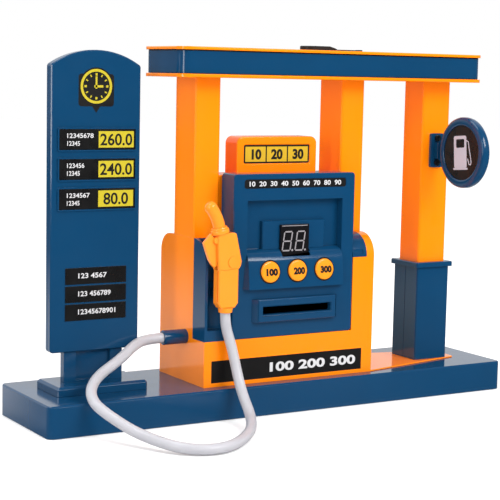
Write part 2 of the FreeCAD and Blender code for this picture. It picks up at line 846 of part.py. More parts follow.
def make_pump_front():
    full_y = (pump_front, front_back_y)
    fascia = block((fascia_left, fascia_right), full_y, (block_top, fascia_top))
    corners = [e for e in fascia.Edges if edge_runs(e, Y_AXIS)
               and (e.CenterOfMass.z > fascia_top - 1 or e.CenterOfMass.x > fascia_right - 1)]
    fascia = fascia.makeFillet(fascia_corner_radius, corners)
    fascia = fascia.makeChamfer(edge_break, edges_at(fascia, Y_AXIS, pump_front))
    inside = block(grow((fascia_left, fascia_right), -fascia_wall),
                   (pump_front + fascia_wall, front_back_y + 1),
                   (block_top + fascia_wall, fascia_top - fascia_wall))
    fascia = fascia.cut(inside)
    tub = block(grow(recess_x, thin_wall), (pump_front + 0.5, recess_back_y + thin_wall),
                (console_bottom - thin_wall, recess_top + thin_wall))
    fascia = fascia.fuse(tub)
    recess = block(recess_x, (pump_front - 1, recess_back_y), (console_bottom, recess_top))
    fascia = fascia.cut(recess)
    step = block(span(display_block_center_x, display_block_width),
                 (recess_back_y - display_block_relief, recess_back_y + 0.1),
                 (display_block_bottom, display_block_top))
    step = step.makeChamfer(edge_break, edges_at(step, Y_AXIS,
                                                 recess_back_y - display_block_relief))
    console_room = console_prism(recess_x, recess_back_y + 1)
    console_room.translate(V(0, 0, static_gap))
    fascia = fascia.fuse(step.cut(console_room))
    window = block(grow(display_x, static_gap), (pump_front, front_back_y),
                   grow(display_z, static_gap))
    key_window = block(span(button_center_x, 2 * button_pitch + 19.0),
                       (recess_back_y - 1, front_back_y), span(button_z, 17.0))
    strip = face_block(span(recess_center_x, name_strip_width),
                       (pump_front - 1, pump_front + name_strip_depth),
                       span(name_strip_z, name_strip_height), 2.0)
    card_hole = block(grow(card_duct_x, static_gap), (pump_front - 1, front_back_y + 1),
                      grow(span(slot_z, slot_height), card_duct_wall + static_gap))
    fascia = fascia.cut([window, key_window, strip, card_hole])

    left_wall = case_prism((pump_left, pump_left + holster_wall), 0, block_top)
    keep = block((pump_left - 1, fascia_left + 1), full_y, (block_top, pump_top + 1))
    left_wall = left_wall.common(keep)
    floor = block((pump_left, fascia_left + 0.5), full_y,
                  (holster_floor_top - holster_floor_thickness, holster_floor_top))
    skirt = block((pump_left, fascia_left + 0.5), (pump_front, pump_front + holster_wall),
                  (block_top, holster_floor_top))
    pocket_back = block((pump_left, fascia_left + 0.5), (front_back_y - thin_wall, front_back_y),
                        (block_top, pump_top))
    block_y = (front_back_y - thin_wall - hook_block_depth, front_back_y)
    hook_block = block(span(hook_x, hook_block_width), block_y,
                       (holster_floor_top - 0.5, holster_floor_top + hook_block_height))
    peg = hook_peg(0, peg_tip_y, block_y[0] + 1.0)
    ear = ear_shell(ear_thickness, 0)
    pad = block(span(fascia_right + 0.6 + ear_pad_width / 2, ear_pad_width),
                (pump_front - 1, pump_front + 0.9), span(ear_pad_z, ear_pad_height))
    pad_cut = pad.cut(case_prism((fascia_right - 5, ear_right + 5), 0.5, base_height))
    ear = ear.cut(pad_cut)
    side_step = block((fascia_right - 0.5, fascia_right + side_step_width),
                      (front_back_y - side_step_depth, front_back_y),
                      (pump_top + static_gap, fascia_top - side_step_drop))
    shell = joined([fascia, left_wall, floor, skirt, pocket_back, hook_block, peg, ear,
                    side_step])
    parts["pump_front"] = shell

    console_x = grow(recess_x, -static_gap)
    panel = console_prism(console_x, recess_back_y - static_gap)
    hollow = console_prism(grow(console_x, -console_wall), recess_back_y + 1)
    hollow.translate(V(0, console_wall, 0))
    floor_cut = block((-far, far), (-far, 0), (0, console_bottom + console_wall))
    panel = panel.cut(hollow.cut(floor_cut))
    bores = [bore(*on_button_axis(bx, -15), button_radius + button_clearance, 30, button_axis,
                  visible_sides) for bx in button_centers()]
    parts["console_panel"] = panel.cut(bores + [window])

    for name, bx in zip(("button_left", "button_middle", "button_right"), button_centers()):
        inner = -console_wall - 1.0
        cap = stud(*on_button_axis(bx, inner), button_radius,
                   button_stand_out - button_crown - inner, button_axis, visible_sides)
        crown = frustum(on_button_axis(bx, button_stand_out - button_crown), button_axis,
                        button_crown, (button_radius, button_radius - button_crown),
                        visible_sides)
        flange_back = on_button_axis(bx, inner - button_flange_thickness)
        flange = stud(*flange_back, button_flange_radius, button_flange_thickness, button_axis,
                      flange_sides)
        stem_reach = button_stem_reach()
        stem = stud(*on_button_axis(bx, -stem_reach), button_stem_radius,
                    stem_reach + inner - button_flange_thickness + 0.2, button_axis)
        parts[name] = joined([cap, crown, flange, stem])


def make_card_slot():
    front = pump_front - bezel_reach
    bezel = block(grow(span(slot_center_x, slot_width), bezel_margin_x), (front, pump_front),
                  grow(span(slot_z, slot_height), bezel_margin_z))
    bezel = bezel.makeChamfer(edge_break, edges_at(bezel, Y_AXIS, front))
    duct_back = pump_front + slot_depth - bezel_reach
    duct = block(card_duct_x, (pump_front - 0.5, duct_back),
                 grow(span(slot_z, slot_height), card_duct_wall))
    mouth = block(span(slot_center_x, slot_width), (front - 1, duct_back - card_duct_wall),
                  span(slot_z, slot_height))
    bezel = joined([bezel, duct]).cut(mouth)
    lip = [e for e in edges_at(bezel, Y_AXIS, front)
           if abs(e.CenterOfMass.z - slot_z) < slot_height / 2 + 0.1
           and abs(e.CenterOfMass.x - slot_center_x) < slot_width / 2 + 0.1]
    parts["card_bezel"] = bezel.makeChamfer(bezel_chamfer, lip)


def make_electronics():
    board_y = (board_front_y, board_front_y + board_thickness)
    board = block(span(recess_center_x, board_width), board_y, (board_bottom, board_top))
    holes = []
    for sx in (-1, 1):
        for z in (board_bottom + 4.0, board_top - 4.0):
            holes.append(bore(recess_center_x + sx * (board_width / 2 - 3.0), board_y[0] - 1, z,
                              screw_hole_radius, 5.0, Y_AXIS))
    parts["circuit_board"] = board.cut(holes)
    screws = []
    for sx in (-1, 1):
        for z in (board_bottom + 4.0, board_top - 4.0):
            screws.append(screw(recess_center_x + sx * (board_width / 2 - 3.0), board_y[1], z,
                                Y_AXIS * -1, 3.4))
    parts["board_screws"] = Part.makeCompound(screws)
    display_front = recess_back_y - display_block_relief + 0.3
    module = block(display_x, (display_front, board_front_y), display_z)
    parts["display_module"] = module
    mat = block(span(button_center_x, 2 * button_pitch + 17.0),
                (board_front_y - mat_thickness, board_front_y), span(button_z - 1.0, 15.0))
    domes = [stud(bx, board_front_y - mat_thickness + 0.05, button_z - 1.0, dome_radius,
                  dome_height, Y_AXIS * -1) for bx in button_centers()]
    parts["keypad_mat"] = joined([mat] + domes)


def make_wire_loom():
    """Battery leads from the battery box up behind the card duct to the board's back."""
    points = [V(loom_x, loom_y, base_ceiling - static_gap),
              V(loom_x, loom_y, board_bottom + loom_rise),
              V(loom_x, board_front_y + board_thickness + static_gap, board_bottom + loom_rise)]
    parts["wire_loom"] = tube_along(points, loom_radius, "wire loom", small_sides)


def tube_along(points, radius, label, sides):
    """Faceted tube on straight runs that tangent arcs join, as large as the runs allow."""
    edges = []
    cursor = points[0]
    length = 0.0
    bends = []
    for before, corner, after in zip(points, points[1:], points[2:]):
        back = (before - corner).normalize()
        ahead = (after - corner).normalize()
        turn = math.pi - back.getAngle(ahead)
        shorter = min((before - corner).Length, (after - corner).Length)
        reach = 0.45 * shorter
        bend = reach / math.tan(turn / 2)
        bends.append(round(bend, 1))
        start = corner + back * reach
        end = corner + ahead * reach
        inward = (back + ahead).normalize()
        middle = corner + inward * (bend / math.cos(turn / 2) - bend)
        edges.append(Part.LineSegment(cursor, start).toShape())
        edges.append(Part.Arc(start, middle, end).toShape())
        length += (start - cursor).Length + bend * turn
        cursor = end
    edges.append(Part.LineSegment(cursor, points[-1]).toShape())
    length += (points[-1] - cursor).Length
    path = Part.Wire(edges)
    start = points[0]
    ring = [V(start.x + radius * math.cos(2 * math.pi * (i + 0.5) / sides),
              start.y + radius * math.sin(2 * math.pi * (i + 0.5) / sides), start.z)
            for i in range(sides)]
    section = Part.makePolygon(ring + ring[:1])
    solid = path.makePipeShell([section], True, False)
    expected = Part.Face(section).Area * length
    print(label, "length", round(length, 1), "bends", bends,
          "volume ratio", round(solid.Volume / expected, 4))
    return solid


def pillar(x, y, width, depth, bottom, spigot):
    """Hollow square pillar, open below, with a spigot that plugs into what it stands on."""
    outside = chamfered_block(span(x, width), span(y, depth), (bottom, pillar_top),
                              pillar_edge_chamfer)
    inner_x = span(x, width - 2 * pillar_wall)
    inner_y = span(y, depth - 2 * pillar_wall)
    plug_x = span(x, width - 2 * spigot_inset)
    plug_y = span(y, depth - 2 * spigot_inset)
    outside = outside.fuse(block(plug_x, plug_y, (bottom - spigot, bottom + 2)))
    hollow = block(grow(plug_x, -pillar_wall), grow(plug_y, -pillar_wall),
                   (bottom - spigot - 1, bottom + 4))
    upper = block(inner_x, inner_y, (bottom + 4, pillar_top - pillar_wall))
    return outside.cut([hollow, upper]).removeSplitter()


def make_pillars():
    for name, x in (("pillar_left", left_pillar_x), ("pillar_middle", middle_pillar_x)):
        post = pillar(x, pillar_center_y, pillar_width, pillar_depth, pump_top,
                      pillar_spigot_length)
        holes = [bore(x + way * pillar_screw_dx, pillar_center_y + way * pillar_screw_dy,
                      pillar_top - 5, screw_hole_radius, 8) for way in (-1, 1)]
        if name == "pillar_left":
            holes.append(bore(feed_x, connector_y, pillar_top - 5, outlet_radius + static_gap, 8))
        parts[name] = post.cut(holes)
    post = pillar(right_pillar_x, 0, right_pillar_width, right_pillar_depth, column_foot, 0)
    holes = [bore(right_pillar_x + way * pillar_screw_dx, way * pillar_screw_dy,
                  pillar_top - 5, screw_hole_radius, 8) for way in (-1, 1)]
    for dz in (-bracket_screw_spacing / 2, bracket_screw_spacing / 2):
        holes.append(bore(sign_x, -right_pillar_depth / 2 - 1, sign_z + dz, screw_hole_radius,
                          pillar_wall + 2, Y_AXIS))
    floor = block(grow(span(right_pillar_x, right_pillar_width), -1.0),
                  grow(span(0, right_pillar_depth), -1.0), (column_foot, column_foot + 10.0))
    for _, by in upper_screw_places()[6:]:
        holes.append(bore(right_pillar_x, by, base_height, screw_hole_radius, screw_length + 2))
    parts["pillar_right"] = joined([post, floor]).cut(holes)


def make_column():
    x = span(right_pillar_x, column_width)
    y = span(0, column_depth)
    z = (column_foot, column_top)
    outside = chamfered_block(x, y, z, column_edge_chamfer)
    bore = block(span(right_pillar_x, right_pillar_width + 2 * static_gap),
                 span(0, right_pillar_depth + 2 * static_gap), (column_foot - 1, column_top + 1))
    tube = outside.cut(bore)
    seam = static_gap
    parts["column_front"] = tube.cut(block(grow(x, 5), (-seam / 2, 60), grow(z, 5)))
    parts["column_back"] = tube.cut(block(grow(x, 5), (-far, seam / 2), grow(z, 5)))
    cap_z = (column_top, column_top + column_cap_thickness)
    cap = chamfered_block(grow(x, column_cap_overhang), grow(y, column_cap_overhang), cap_z,
                          column_cap_chamfer)
    cap = cap.makeChamfer(edge_break, edges_at(cap, Z_AXIS, cap_z[1]))
    hole = chamfered_block(span(right_pillar_x, right_pillar_width + 2 * static_gap),
                           span(0, right_pillar_depth + 2 * static_gap), grow(cap_z, 1),
                           pillar_edge_chamfer)
    parts["column_cap"] = cap.cut(hole)


def make_island():
    left = pump_right + static_gap
    z0 = base_height
    corners = [V(left, -island_half_width_left, z0), V(island_right_x, -island_half_width_right, z0),
               V(island_right_x, island_half_width_right, z0), V(left, island_half_width_left, z0)]
    face = Part.Face(Part.makePolygon(corners + corners[:1]))
    plate = face.extrude(V(0, 0, island_thickness))
    ends = [e for e in upright_edges(plate) if e.CenterOfMass.x > island_right_x - 1]
    plate = plate.makeFillet(island_corner_radius, ends)
    plate = plate.makeChamfer(0.3, edges_at(plate, Z_AXIS, z0 + island_thickness))
    holes = [bore(bx, by, z0 - 1, screw_hole_radius, 4) for bx, by in upper_screw_places()[6:]]
    parts["island_plate"] = plate.cut(holes)


def flange(z):
    """Plate with broken rims, as the canopy's tray and lid share it."""
    x = grow(span(canopy_center_x, canopy_length), flange_overhang)
    y = grow(span(0, canopy_depth), flange_overhang)
    plate = rounded_block(x, y, z, canopy_corner_radius + flange_overhang)
    outer = edges_at(plate, Z_AXIS, z[0]) + edges_at(plate, Z_AXIS, z[1])
    return plate.makeChamfer(edge_break, outer)


def pillar_screw_places():
    places = []
    for px, py in ((left_pillar_x, pillar_center_y), (middle_pillar_x, pillar_center_y),
                   (right_pillar_x, 0.0)):
        for way in (-1, 1):
            places.append((px + way * pillar_screw_dx, py + way * pillar_screw_dy))
    return places


def make_canopy():
    tray = flange((pillar_top, band_bottom))
    holes = [bore(feed_x, connector_y, pillar_top - 1, outlet_radius + static_gap, 6)]
    seat = band_bottom - screw_head_height
    for px, py in pillar_screw_places():
        holes.append(bore(px, py, pillar_top - 1, screw_hole_radius + static_gap, 6))
        holes.append(bore(px, py, seat, screw_head_radius + head_clearance, 6))
    parts["canopy_tray"] = tray.cut(holes)
    parts["canopy_screws"] = Part.makeCompound(
        [screw(px, py, seat, Z_AXIS * -1, 3.2) for px, py in pillar_screw_places()])

    x = span(canopy_center_x, canopy_length)
    y = span(0, canopy_depth)
    tank = rounded_block(x, y, (band_bottom, band_top), canopy_corner_radius)
    inside = block(grow(x, -tank_wall), grow(y, -tank_wall), (band_bottom + tank_wall, band_top + 1))
    outlet = stud(feed_x, connector_y, outlet_bottom, outlet_radius,
                  band_bottom - outlet_bottom + 0.5)
    drain = bore(feed_x, connector_y, outlet_bottom - 1, outlet_bore, 20)
    parts["canopy_tank"] = joined([tank.cut(inside), outlet]).cut(drain)

    lid = flange((band_top, lid_top))
    rim_x = grow(x, -tank_wall - static_gap)
    rim_y = grow(y, -tank_wall - static_gap)
    rim = block(rim_x, rim_y, (band_top - lid_rim_depth, band_top + 0.5))
    rim = rim.cut(block(grow(rim_x, -thin_wall), grow(rim_y, -thin_wall),
                        (band_top - 20, band_top + 0.2)))
    lid = lid.fuse(rim)
    mouth = stem_shape(running_gap, lid_top - 8.0, lid_top + 1.0)
    parts["canopy_lid"] = lid.cut(mouth).removeSplitter()


def stem_shape(margin, z0, z1):
    """Oval of the filler hole and of the plug's stem."""
    x = grow(span(plug_left + plug_length / 2, plug_stem_length), margin)
    y = grow(span(0, plug_stem_width), margin)
    return rounded_block(x, y, (z0, z1), (y[1] - y[0]) / 2 - 0.05)


def make_plug():
    z0 = lid_top + seat_gap
    x = (plug_left, plug_left + plug_length)
    head = rounded_block(x, span(0, plug_width), (z0, z0 + plug_height), plug_width / 2 - 0.1)
    ramp = block((x[1] - 9.0, x[1] + 9.0), (-20, 20), (0, 6))
    ramp.rotate(V(x[1] - 9.0, 0, 0), Y_AXIS, 14.0)
    ramp.translate(V(0, 0, z0 + plug_height - 0.2))
    head = head.makeChamfer(0.5, edges_at(head, Z_AXIS, z0 + plug_height)).cut(ramp)
    stem = stem_shape(-plug_stem_taper, z0 - plug_stem_depth, z0 + 0.5)
    strap = block((x[1] - 6.0, strap_hinge_x), span(0, strap_width), (z0, z0 + strap_thickness))
    strap_end = rod(strap_hinge_x, -strap_width / 2, z0 + strap_thickness / 2,
                    strap_thickness / 2, strap_width, Y_AXIS)
    parts["filler_plug"] = joined([head, stem, strap, strap_end])

    anchor_x = strap_hinge_x + strap_thickness / 2 + seat_gap
    anchor = chamfered_block((anchor_x, anchor_x + anchor_length),
                             span(0, anchor_width), (lid_top, lid_top + anchor_height), 1.2)
    parts["plug_anchor"] = anchor


def make_head_and_marquee():
    x = (left_pillar_x + pillar_width / 2 + static_gap,
         middle_pillar_x - pillar_width / 2 - static_gap)
    y = span(pillar_center_y, head_depth)
    head = block(x, y, (pump_top, head_top))
    head = head.makeChamfer(edge_break, edges_at(head, Z_AXIS, head_top))
    head = head.cut(block(grow(x, -wall), grow(y, -wall), (pump_top - 1, head_top - wall)))
    tongue_x = span(marquee_center_x, marquee_width - 12.0)
    tongue_y = span(0, marquee_depth - 8.0)
    head = head.cut(block(grow(tongue_x, static_gap), grow(tongue_y, static_gap),
                          (head_top - 5, head_top + 1)))
    parts["pump_head"] = head

    mx = span(marquee_center_x, marquee_width)
    my = span(0, marquee_depth)
    sign = block(mx, my, (head_top, marquee_top))
    crown = [e for e in sign.Edges if edge_runs(e, Y_AXIS) and e.CenterOfMass.z > marquee_top - 1]
    sign = sign.makeFillet(marquee_radius, crown)
    sign = sign.makeChamfer(edge_break, [e for e in edges_at(sign, Y_AXIS, my[0])
                                         + edges_at(sign, Y_AXIS, my[1])
                                         if e.CenterOfMass.z > head_top + 0.1])
    room = block(grow(mx, -wall), grow(my, -wall), (head_top - 1, marquee_top - wall))
    sign = sign.cut(room)
    tongue = block(tongue_x, tongue_y, (head_top - marquee_tongue, head_top + 1))
    web = block(grow(mx, -1.0), grow(my, -1.0), (head_top, head_top + 2.0))
    sign = joined([sign, tongue, web])
    window = face_block(span(marquee_center_x, marquee_window_width),
                        (my[0] - 1, my[0] + marquee_window_depth),
                        span(marquee_window_z, marquee_window_height), 1.5)
    parts["marquee"] = sign.cut(window)


def pylon_outline(inset):
    """Pylon panel's front outline: straight sides under one flat arch."""
    half = pylon_width / 2 - inset
    rise = pylon_apex - pylon_shoulder
    radius = ((pylon_width / 2) ** 2 + rise ** 2) / (2 * rise) - inset
    centre_z = pylon_apex - inset - radius
    shoulder = centre_z + math.sqrt(radius ** 2 - half ** 2)
    bottom = pylon_bottom + inset
    left = V(pylon_x - half, 0, shoulder)
    right = V(pylon_x + half, 0, shoulder)
    apex = V(pylon_x, 0, pylon_apex - inset)
    edges = [Part.LineSegment(V(pylon_x - half, 0, bottom), left).toShape(),
             Part.Arc(left, apex, right).toShape(),
             Part.LineSegment(right, V(pylon_x + half, 0, bottom)).toShape(),
             Part.LineSegment(V(pylon_x + half, 0, bottom),
                              V(pylon_x - half, 0, bottom)).toShape()]
    return Part.Face(Part.Wire(edges))


def pylon_slab(inset, y0, y1):
    slab = pylon_outline(inset).extrude(V(0, y1 - y0, 0))
    slab.translate(V(0, y0, 0))
    radius = pylon_corner_radius - inset
    if radius > 0.2:
        slab = slab.makeFillet(radius, [e for e in slab.Edges if edge_runs(e, Y_AXIS)])
    return slab


def price_plate_zs():
    return [price_plate_top_z - i * price_plate_pitch for i in range(price_plate_count)]


def make_pylon():
    half = pylon_thickness / 2
    seam = static_gap / 2
    shells = {"pylon_front": (-half, -seam, -half + pylon_wall),
              "pylon_back": (seam, half, half - pylon_wall)}
    for name, (y0, y1, inner) in shells.items():
        slab = pylon_slab(0, y0, y1)
        outer_y = y0 if name == "pylon_front" else y1
        slab = slab.makeChamfer(edge_break, edges_at(slab, Y_AXIS, outer_y))
        deep = (inner, 10) if name == "pylon_front" else (-10, inner)
        hollow = pylon_slab(pylon_wall, deep[0], deep[1])
        shell = slab.cut(hollow)
        leg_holes = [block(grow(span(px, post_width), static_gap), (-10, 10),
                           (pylon_bottom - 1, pylon_bottom + pylon_wall + 1))
                     for px in post_xs()]
        gate = block((-far, 0), (post_front_y - static_gap, tongue_back_y() + static_gap),
                     (pylon_bottom - 2, pylon_bottom + pylon_wall + 2))
        shell = shell.cut([hole.common(gate) for hole in leg_holes])
        if name == "pylon_front":
            shell = joined([shell] + [price_frame(z) for z in price_plate_zs()])
        parts[name] = shell
    parts["price_plates"] = Part.makeCompound([price_inlay(z) for z in price_plate_zs()])
    strips = []
    for i in range(service_strip_count):
        strips.append(block(span(pylon_x + service_strip_offset, service_strip_width),
                            (-half - service_strip_relief, -half),
                            span(service_strip_top_z - i * service_strip_pitch,
                                 service_strip_height)))
    parts["service_strips"] = Part.makeCompound(strips)

    foot_top = base_height + foot_height
    posts = []
    for px in post_xs():
        post = block(span(px, post_width), (post_front_y, post_front_y + post_depth),
                     (foot_top, pylon_bottom - seat_gap))
        tongue = block(span(px, post_width), (post_front_y, tongue_back_y()),
                       (foot_top, post_tongue_top))
        posts.extend([post, tongue])
    web = block((post_xs()[0], post_xs()[1]), (0.4, tongue_back_y()),
                (foot_top, pylon_bottom - seat_gap))
    spigot = block(span(pylon_x, post_spacing + post_width), (post_front_y, post_front_y + 4.0),
                   (base_height + 2.2, foot_top + 1.0))
    frame = joined(posts + [web, spigot])
    holes = [bore(px, 0, base_height, screw_hole_radius, screw_length + 2)
             for px, _ in upper_screw_places()[:2]]
    parts["pylon_posts"] = frame.cut(holes)
    foot = chamfered_block(span(pylon_x + foot_offset_x, foot_width),
                           span(foot_offset_y, foot_depth), (base_height, foot_top),
                           foot_corner_chamfer)
    foot = foot.makeChamfer(foot_slope, edges_at(foot, Z_AXIS, foot_top))
    socket = block(grow(span(pylon_x, post_spacing + post_width), static_gap),
                   (post_front_y - static_gap, post_front_y + 4.0 + static_gap),
                   (base_height + 2.0, foot_top + 1.0))
    foot = foot.cut([socket] + [bore(px, 0, base_height - 1, screw_hole_radius, 6)
                                for px, _ in upper_screw_places()[:2]])
    parts["pylon_foot"] = foot


def price_frame(z):
    """Raised frame on the panel round one price inlay."""
    x = span(pylon_x + price_plate_offset, price_plate_width)
    face_y = -pylon_thickness / 2
    plate = face_block(x, (face_y - price_plate_relief, face_y + 0.1),
                       span(z, price_plate_height), price_plate_radius)
    return plate.cut(block(grow(x, -price_frame_width),
                           (face_y - price_plate_relief - 1, face_y),
                           grow(span(z, price_plate_height), -price_frame_width)))


def price_inlay(z):
    """Black plate that sits in a price frame, just below its rim."""
    margin = price_frame_width + static_gap
    face_y = -pylon_thickness / 2
    return block(grow(span(pylon_x + price_plate_offset, price_plate_width), -margin),
                 (face_y - price_inlay_thickness, face_y),
                 grow(span(z, price_plate_height), -margin))


def post_xs():
    return (pylon_x - post_spacing / 2, pylon_x + post_spacing / 2)


def tongue_back_y():
    return pylon_thickness / 2 - pylon_wall - static_gap


def make_blade_sign():
    x = span(sign_x, sign_thickness)
    ring = rod(x[0], sign_y, sign_z, sign_radius, sign_thickness, X_AXIS)
    rims = [e for e in ring.Edges if len(e.Vertexes) == 1]
    ring = ring.makeChamfer(edge_break, rims)
    depth = sign_face_thickness + sign_face_recess
    pockets = [bore(start, sign_y, sign_z, sign_face_radius + static_gap, depth + 1, X_AXIS,
                    sign_face_sides) for start in (x[0] - 1, x[1] - depth)]
    pillar_face = -right_pillar_depth / 2
    plate = block(span(sign_x, bracket_width),
                  (pillar_face - bracket_plate_thickness, pillar_face),
                  span(sign_z, bracket_height))
    web = block(span(sign_x, bracket_web_width),
                (sign_y + sign_radius - 3.0, pillar_face - bracket_plate_thickness + 0.5),
                span(sign_z, bracket_screw_spacing - 6.5))
    body = joined([ring, web, plate]).cut(pockets)
    holes = [bore(sign_x, pillar_face - 5, sign_z + dz, screw_hole_radius + static_gap, 8, Y_AXIS)
             for dz in (-bracket_screw_spacing / 2, bracket_screw_spacing / 2)]
    parts["blade_sign"] = body.cut(holes)
    faces = [stud(start, sign_y, sign_z, sign_face_radius, sign_face_thickness, X_AXIS,
                  sign_face_sides)
             for start in (x[0] + sign_face_recess, x[1] - depth)]
    parts["sign_faces"] = Part.makeCompound(faces)
    seats = [screw(sign_x, pillar_face - bracket_plate_thickness, sign_z + dz, Y_AXIS, 7.0)
             for dz in (-bracket_screw_spacing / 2, bracket_screw_spacing / 2)]
    parts["sign_screws"] = Part.makeCompound(seats)


def grip_outline():
    """Front outline of the nozzle's grip, with the chamfers down to the hose collar."""
    reach = collar_bottom_radius + 0.6
    return [(grip_left, grip_bottom), (hook_x - reach, neck_bottom), (hook_x + reach, neck_bottom),
            (grip_right, grip_bottom), (grip_right, grip_top + 2.0), (grip_left, grip_top + 2.0)]


def body_outline(inset=0.0):
    """Front outline of the nozzle's body: leaning sides and a bulge beside the cap."""
    left = grip_left + inset
    right = grip_right - inset
    top = body_top - inset
    return [(left - 0.2, grip_top), (grip_left + 5.0, grip_top - 0.5),
            (grip_right - 5.5, grip_top - 0.1), (right + 0.1, grip_top + 0.4),
            (right + 1.4, grip_top + 2.4), (right + 2.0, grip_top + 5.4),
            (right - 2.3, top - 0.8), (right - 3.9, top), (left + 0.2, top),
            (left - 1.2, top - 2.4)]


def grip_room():
    w = nozzle_wall
    return [(grip_left + w, grip_bottom + w), (grip_right - w, grip_bottom + w),
            (grip_right - w, grip_top + 1.0), (grip_left + w, grip_top + 1.0)]


def make_nozzle():
    grip_front = nozzle_y - nozzle_thickness / 2
    grip_back = nozzle_y + nozzle_thickness / 2
    body_front = grip_front - body_relief
    body_back = grip_back + body_relief
    seam = static_gap / 2
    halves = []
    for outer_grip, outer_body, inner in ((grip_front, body_front, nozzle_y - seam),
                                          (grip_back, body_back, nozzle_y + seam)):
        low, high = sorted((outer_grip, inner))
        grip = polygon_prism(grip_outline(), low, high)
        grip = grip.makeChamfer(nozzle_edge, edges_at(grip, Y_AXIS, outer_grip))
        low, high = sorted((outer_body, inner))
        body = polygon_prism(body_outline(), low, high)
        body = body.makeChamfer(nozzle_edge, edges_at(body, Y_AXIS, outer_body))
        halves.append(joined([grip, body]))
    front, back = halves

    cap = stud(cap_x, body_front - cap_relief, valve_z, cap_radius, cap_relief + 0.5, Y_AXIS,
               visible_sides)
    depth = (grip_front + nozzle_wall, grip_back - nozzle_wall)
    body_room = polygon_prism(body_outline(nozzle_wall), depth[0], depth[1])
    body_room = body_room.cut(block((-far, guide_x[1]), depth, (0, far)))
    pivot_x, pivot_z = trigger_pivot
    pin_hole = rod(pivot_x, grip_front + 1.0, pivot_z, trigger_pin_radius + 0.02,
                   nozzle_thickness - 2.0, Y_AXIS)
    start = V(spout_start[0], nozzle_y, spout_start[1])
    root = stud(*(start - spout_heading() * 0.1), spout_radius + spout_root_gap, 9.0,
                spout_heading(), visible_sides)
    guide = rod(guide_x[0] - 1, nozzle_y, valve_z, plunger_radius + pin_clearance,
                guide_x[1] - guide_x[0] + 2, X_AXIS)
    spring_room = bore(guide_x[0] - spring_room_length, nozzle_y, valve_z,
                       spring_outer_radius + running_gap, spring_room_length, X_AXIS)
    shared = [body_room, pin_hole, root, guide, spring_room, trigger_gate(), hose_bore()]
    grip_hollow = polygon_prism(grip_room(), depth[0], nozzle_y)
    parts["nozzle_front_half"] = joined([front, cap]).cut(shared + [grip_hollow])

    socket = hook_peg(seat_gap, peg_tip_y - seat_gap, body_back + 1)
    parts["nozzle_back_half"] = back.cut(shared + [socket])

    section = ring_at(start, spout_heading(), spout_radius, visible_sides)
    outer = spout_path().makePipeShell([section], True, False)
    tip, tip_heading = spout_tip()
    mouth = stud(*(tip - tip_heading * spout_mouth_depth), spout_bore, spout_mouth_depth + 1.0,
                 tip_heading, visible_sides)
    ring = stud(*(start + spout_heading()), spout_ring_radius, spout_ring_height + 3.0,
                spout_heading(), visible_sides)
    lift = block((-far, 0), (body_front + 0.4, body_back - 0.4),
                 (body_top + static_gap / 2, body_top + spout_ring_height + static_gap / 2))
    parts["nozzle_spout"] = joined([outer, ring.common(lift)]).cut(mouth)
    parts["nozzle_collar"] = frustum(V(hook_x, nozzle_y, neck_bottom - collar_height), Z_AXIS,
                                     collar_height,
                                     (collar_bottom_radius, collar_bottom_radius + collar_flare),
                                     visible_sides)


def hose_bore():
    """Bore up the grip for the water."""
    return bore(hook_x, nozzle_y - water_bore, neck_bottom - 1, grip_bore, grip_top - neck_bottom)


def spout_heading():
    lean = math.radians(spout_lean_deg)
    return V(-math.sin(lean), 0, math.cos(lean))


def spout_path():
    """Short straight root, then one arc over to the left."""
    start = V(spout_start[0], nozzle_y, spout_start[1])
    bend = math.radians(spout_bend_deg)
    arc = Part.Arc(on_spout_arc(0), on_spout_arc(bend / 2), on_spout_arc(bend)).toShape()
    return Part.Wire([Part.LineSegment(start, on_spout_arc(0)).toShape(), arc])


def on_spout_arc(angle):
    """Point on the spout's bend, at that angle past its straight root."""
    lean = math.radians(spout_lean_deg)
    knee = V(spout_start[0], nozzle_y, spout_start[1]) + spout_heading() * spout_root
    return knee + V(-spout_bend_radius * (math.cos(lean) - math.cos(lean + angle)), 0,
                    spout_bend_radius * (math.sin(lean + angle) - math.sin(lean)))


def spout_tip():
    """The spout's end and the way it points."""
    turn = math.radians(spout_lean_deg + spout_bend_deg)
    return on_spout_arc(math.radians(spout_bend_deg)), V(-math.sin(turn), 0, math.cos(turn))


def trigger_outline():
    """Trigger seen from the front: a fin hung at the body's top corner."""
    from_pivot = [(2.2, -2.0), (2.2, 1.3), (-1.4, 1.6), (-3.8, 4.6), (-9.4, -1.6), (-7.7, -6.2),
                  (-5.3, -12.6), (-2.9, -16.4), (-1.0, -18.2), (1.0, -17.0)]
    return [(trigger_pivot[0] + x, trigger_pivot[1] + z) for x, z in from_pivot]


def trigger_gate():
    """Slot between the halves that the trigger swings in."""
    half = trigger_thickness / 2 + running_gap
    low = grip_top - 0.2
    inner = grip_left + 3.8
    outer = grip_left - 2.4
    step = body_top - 2.3
    top = body_top + 3.4
    return polygon_prism([(-far, low), (inner, low), (inner, step), (outer, step),
                          (outer, top), (-far, top)], nozzle_y - half, nozzle_y + half)


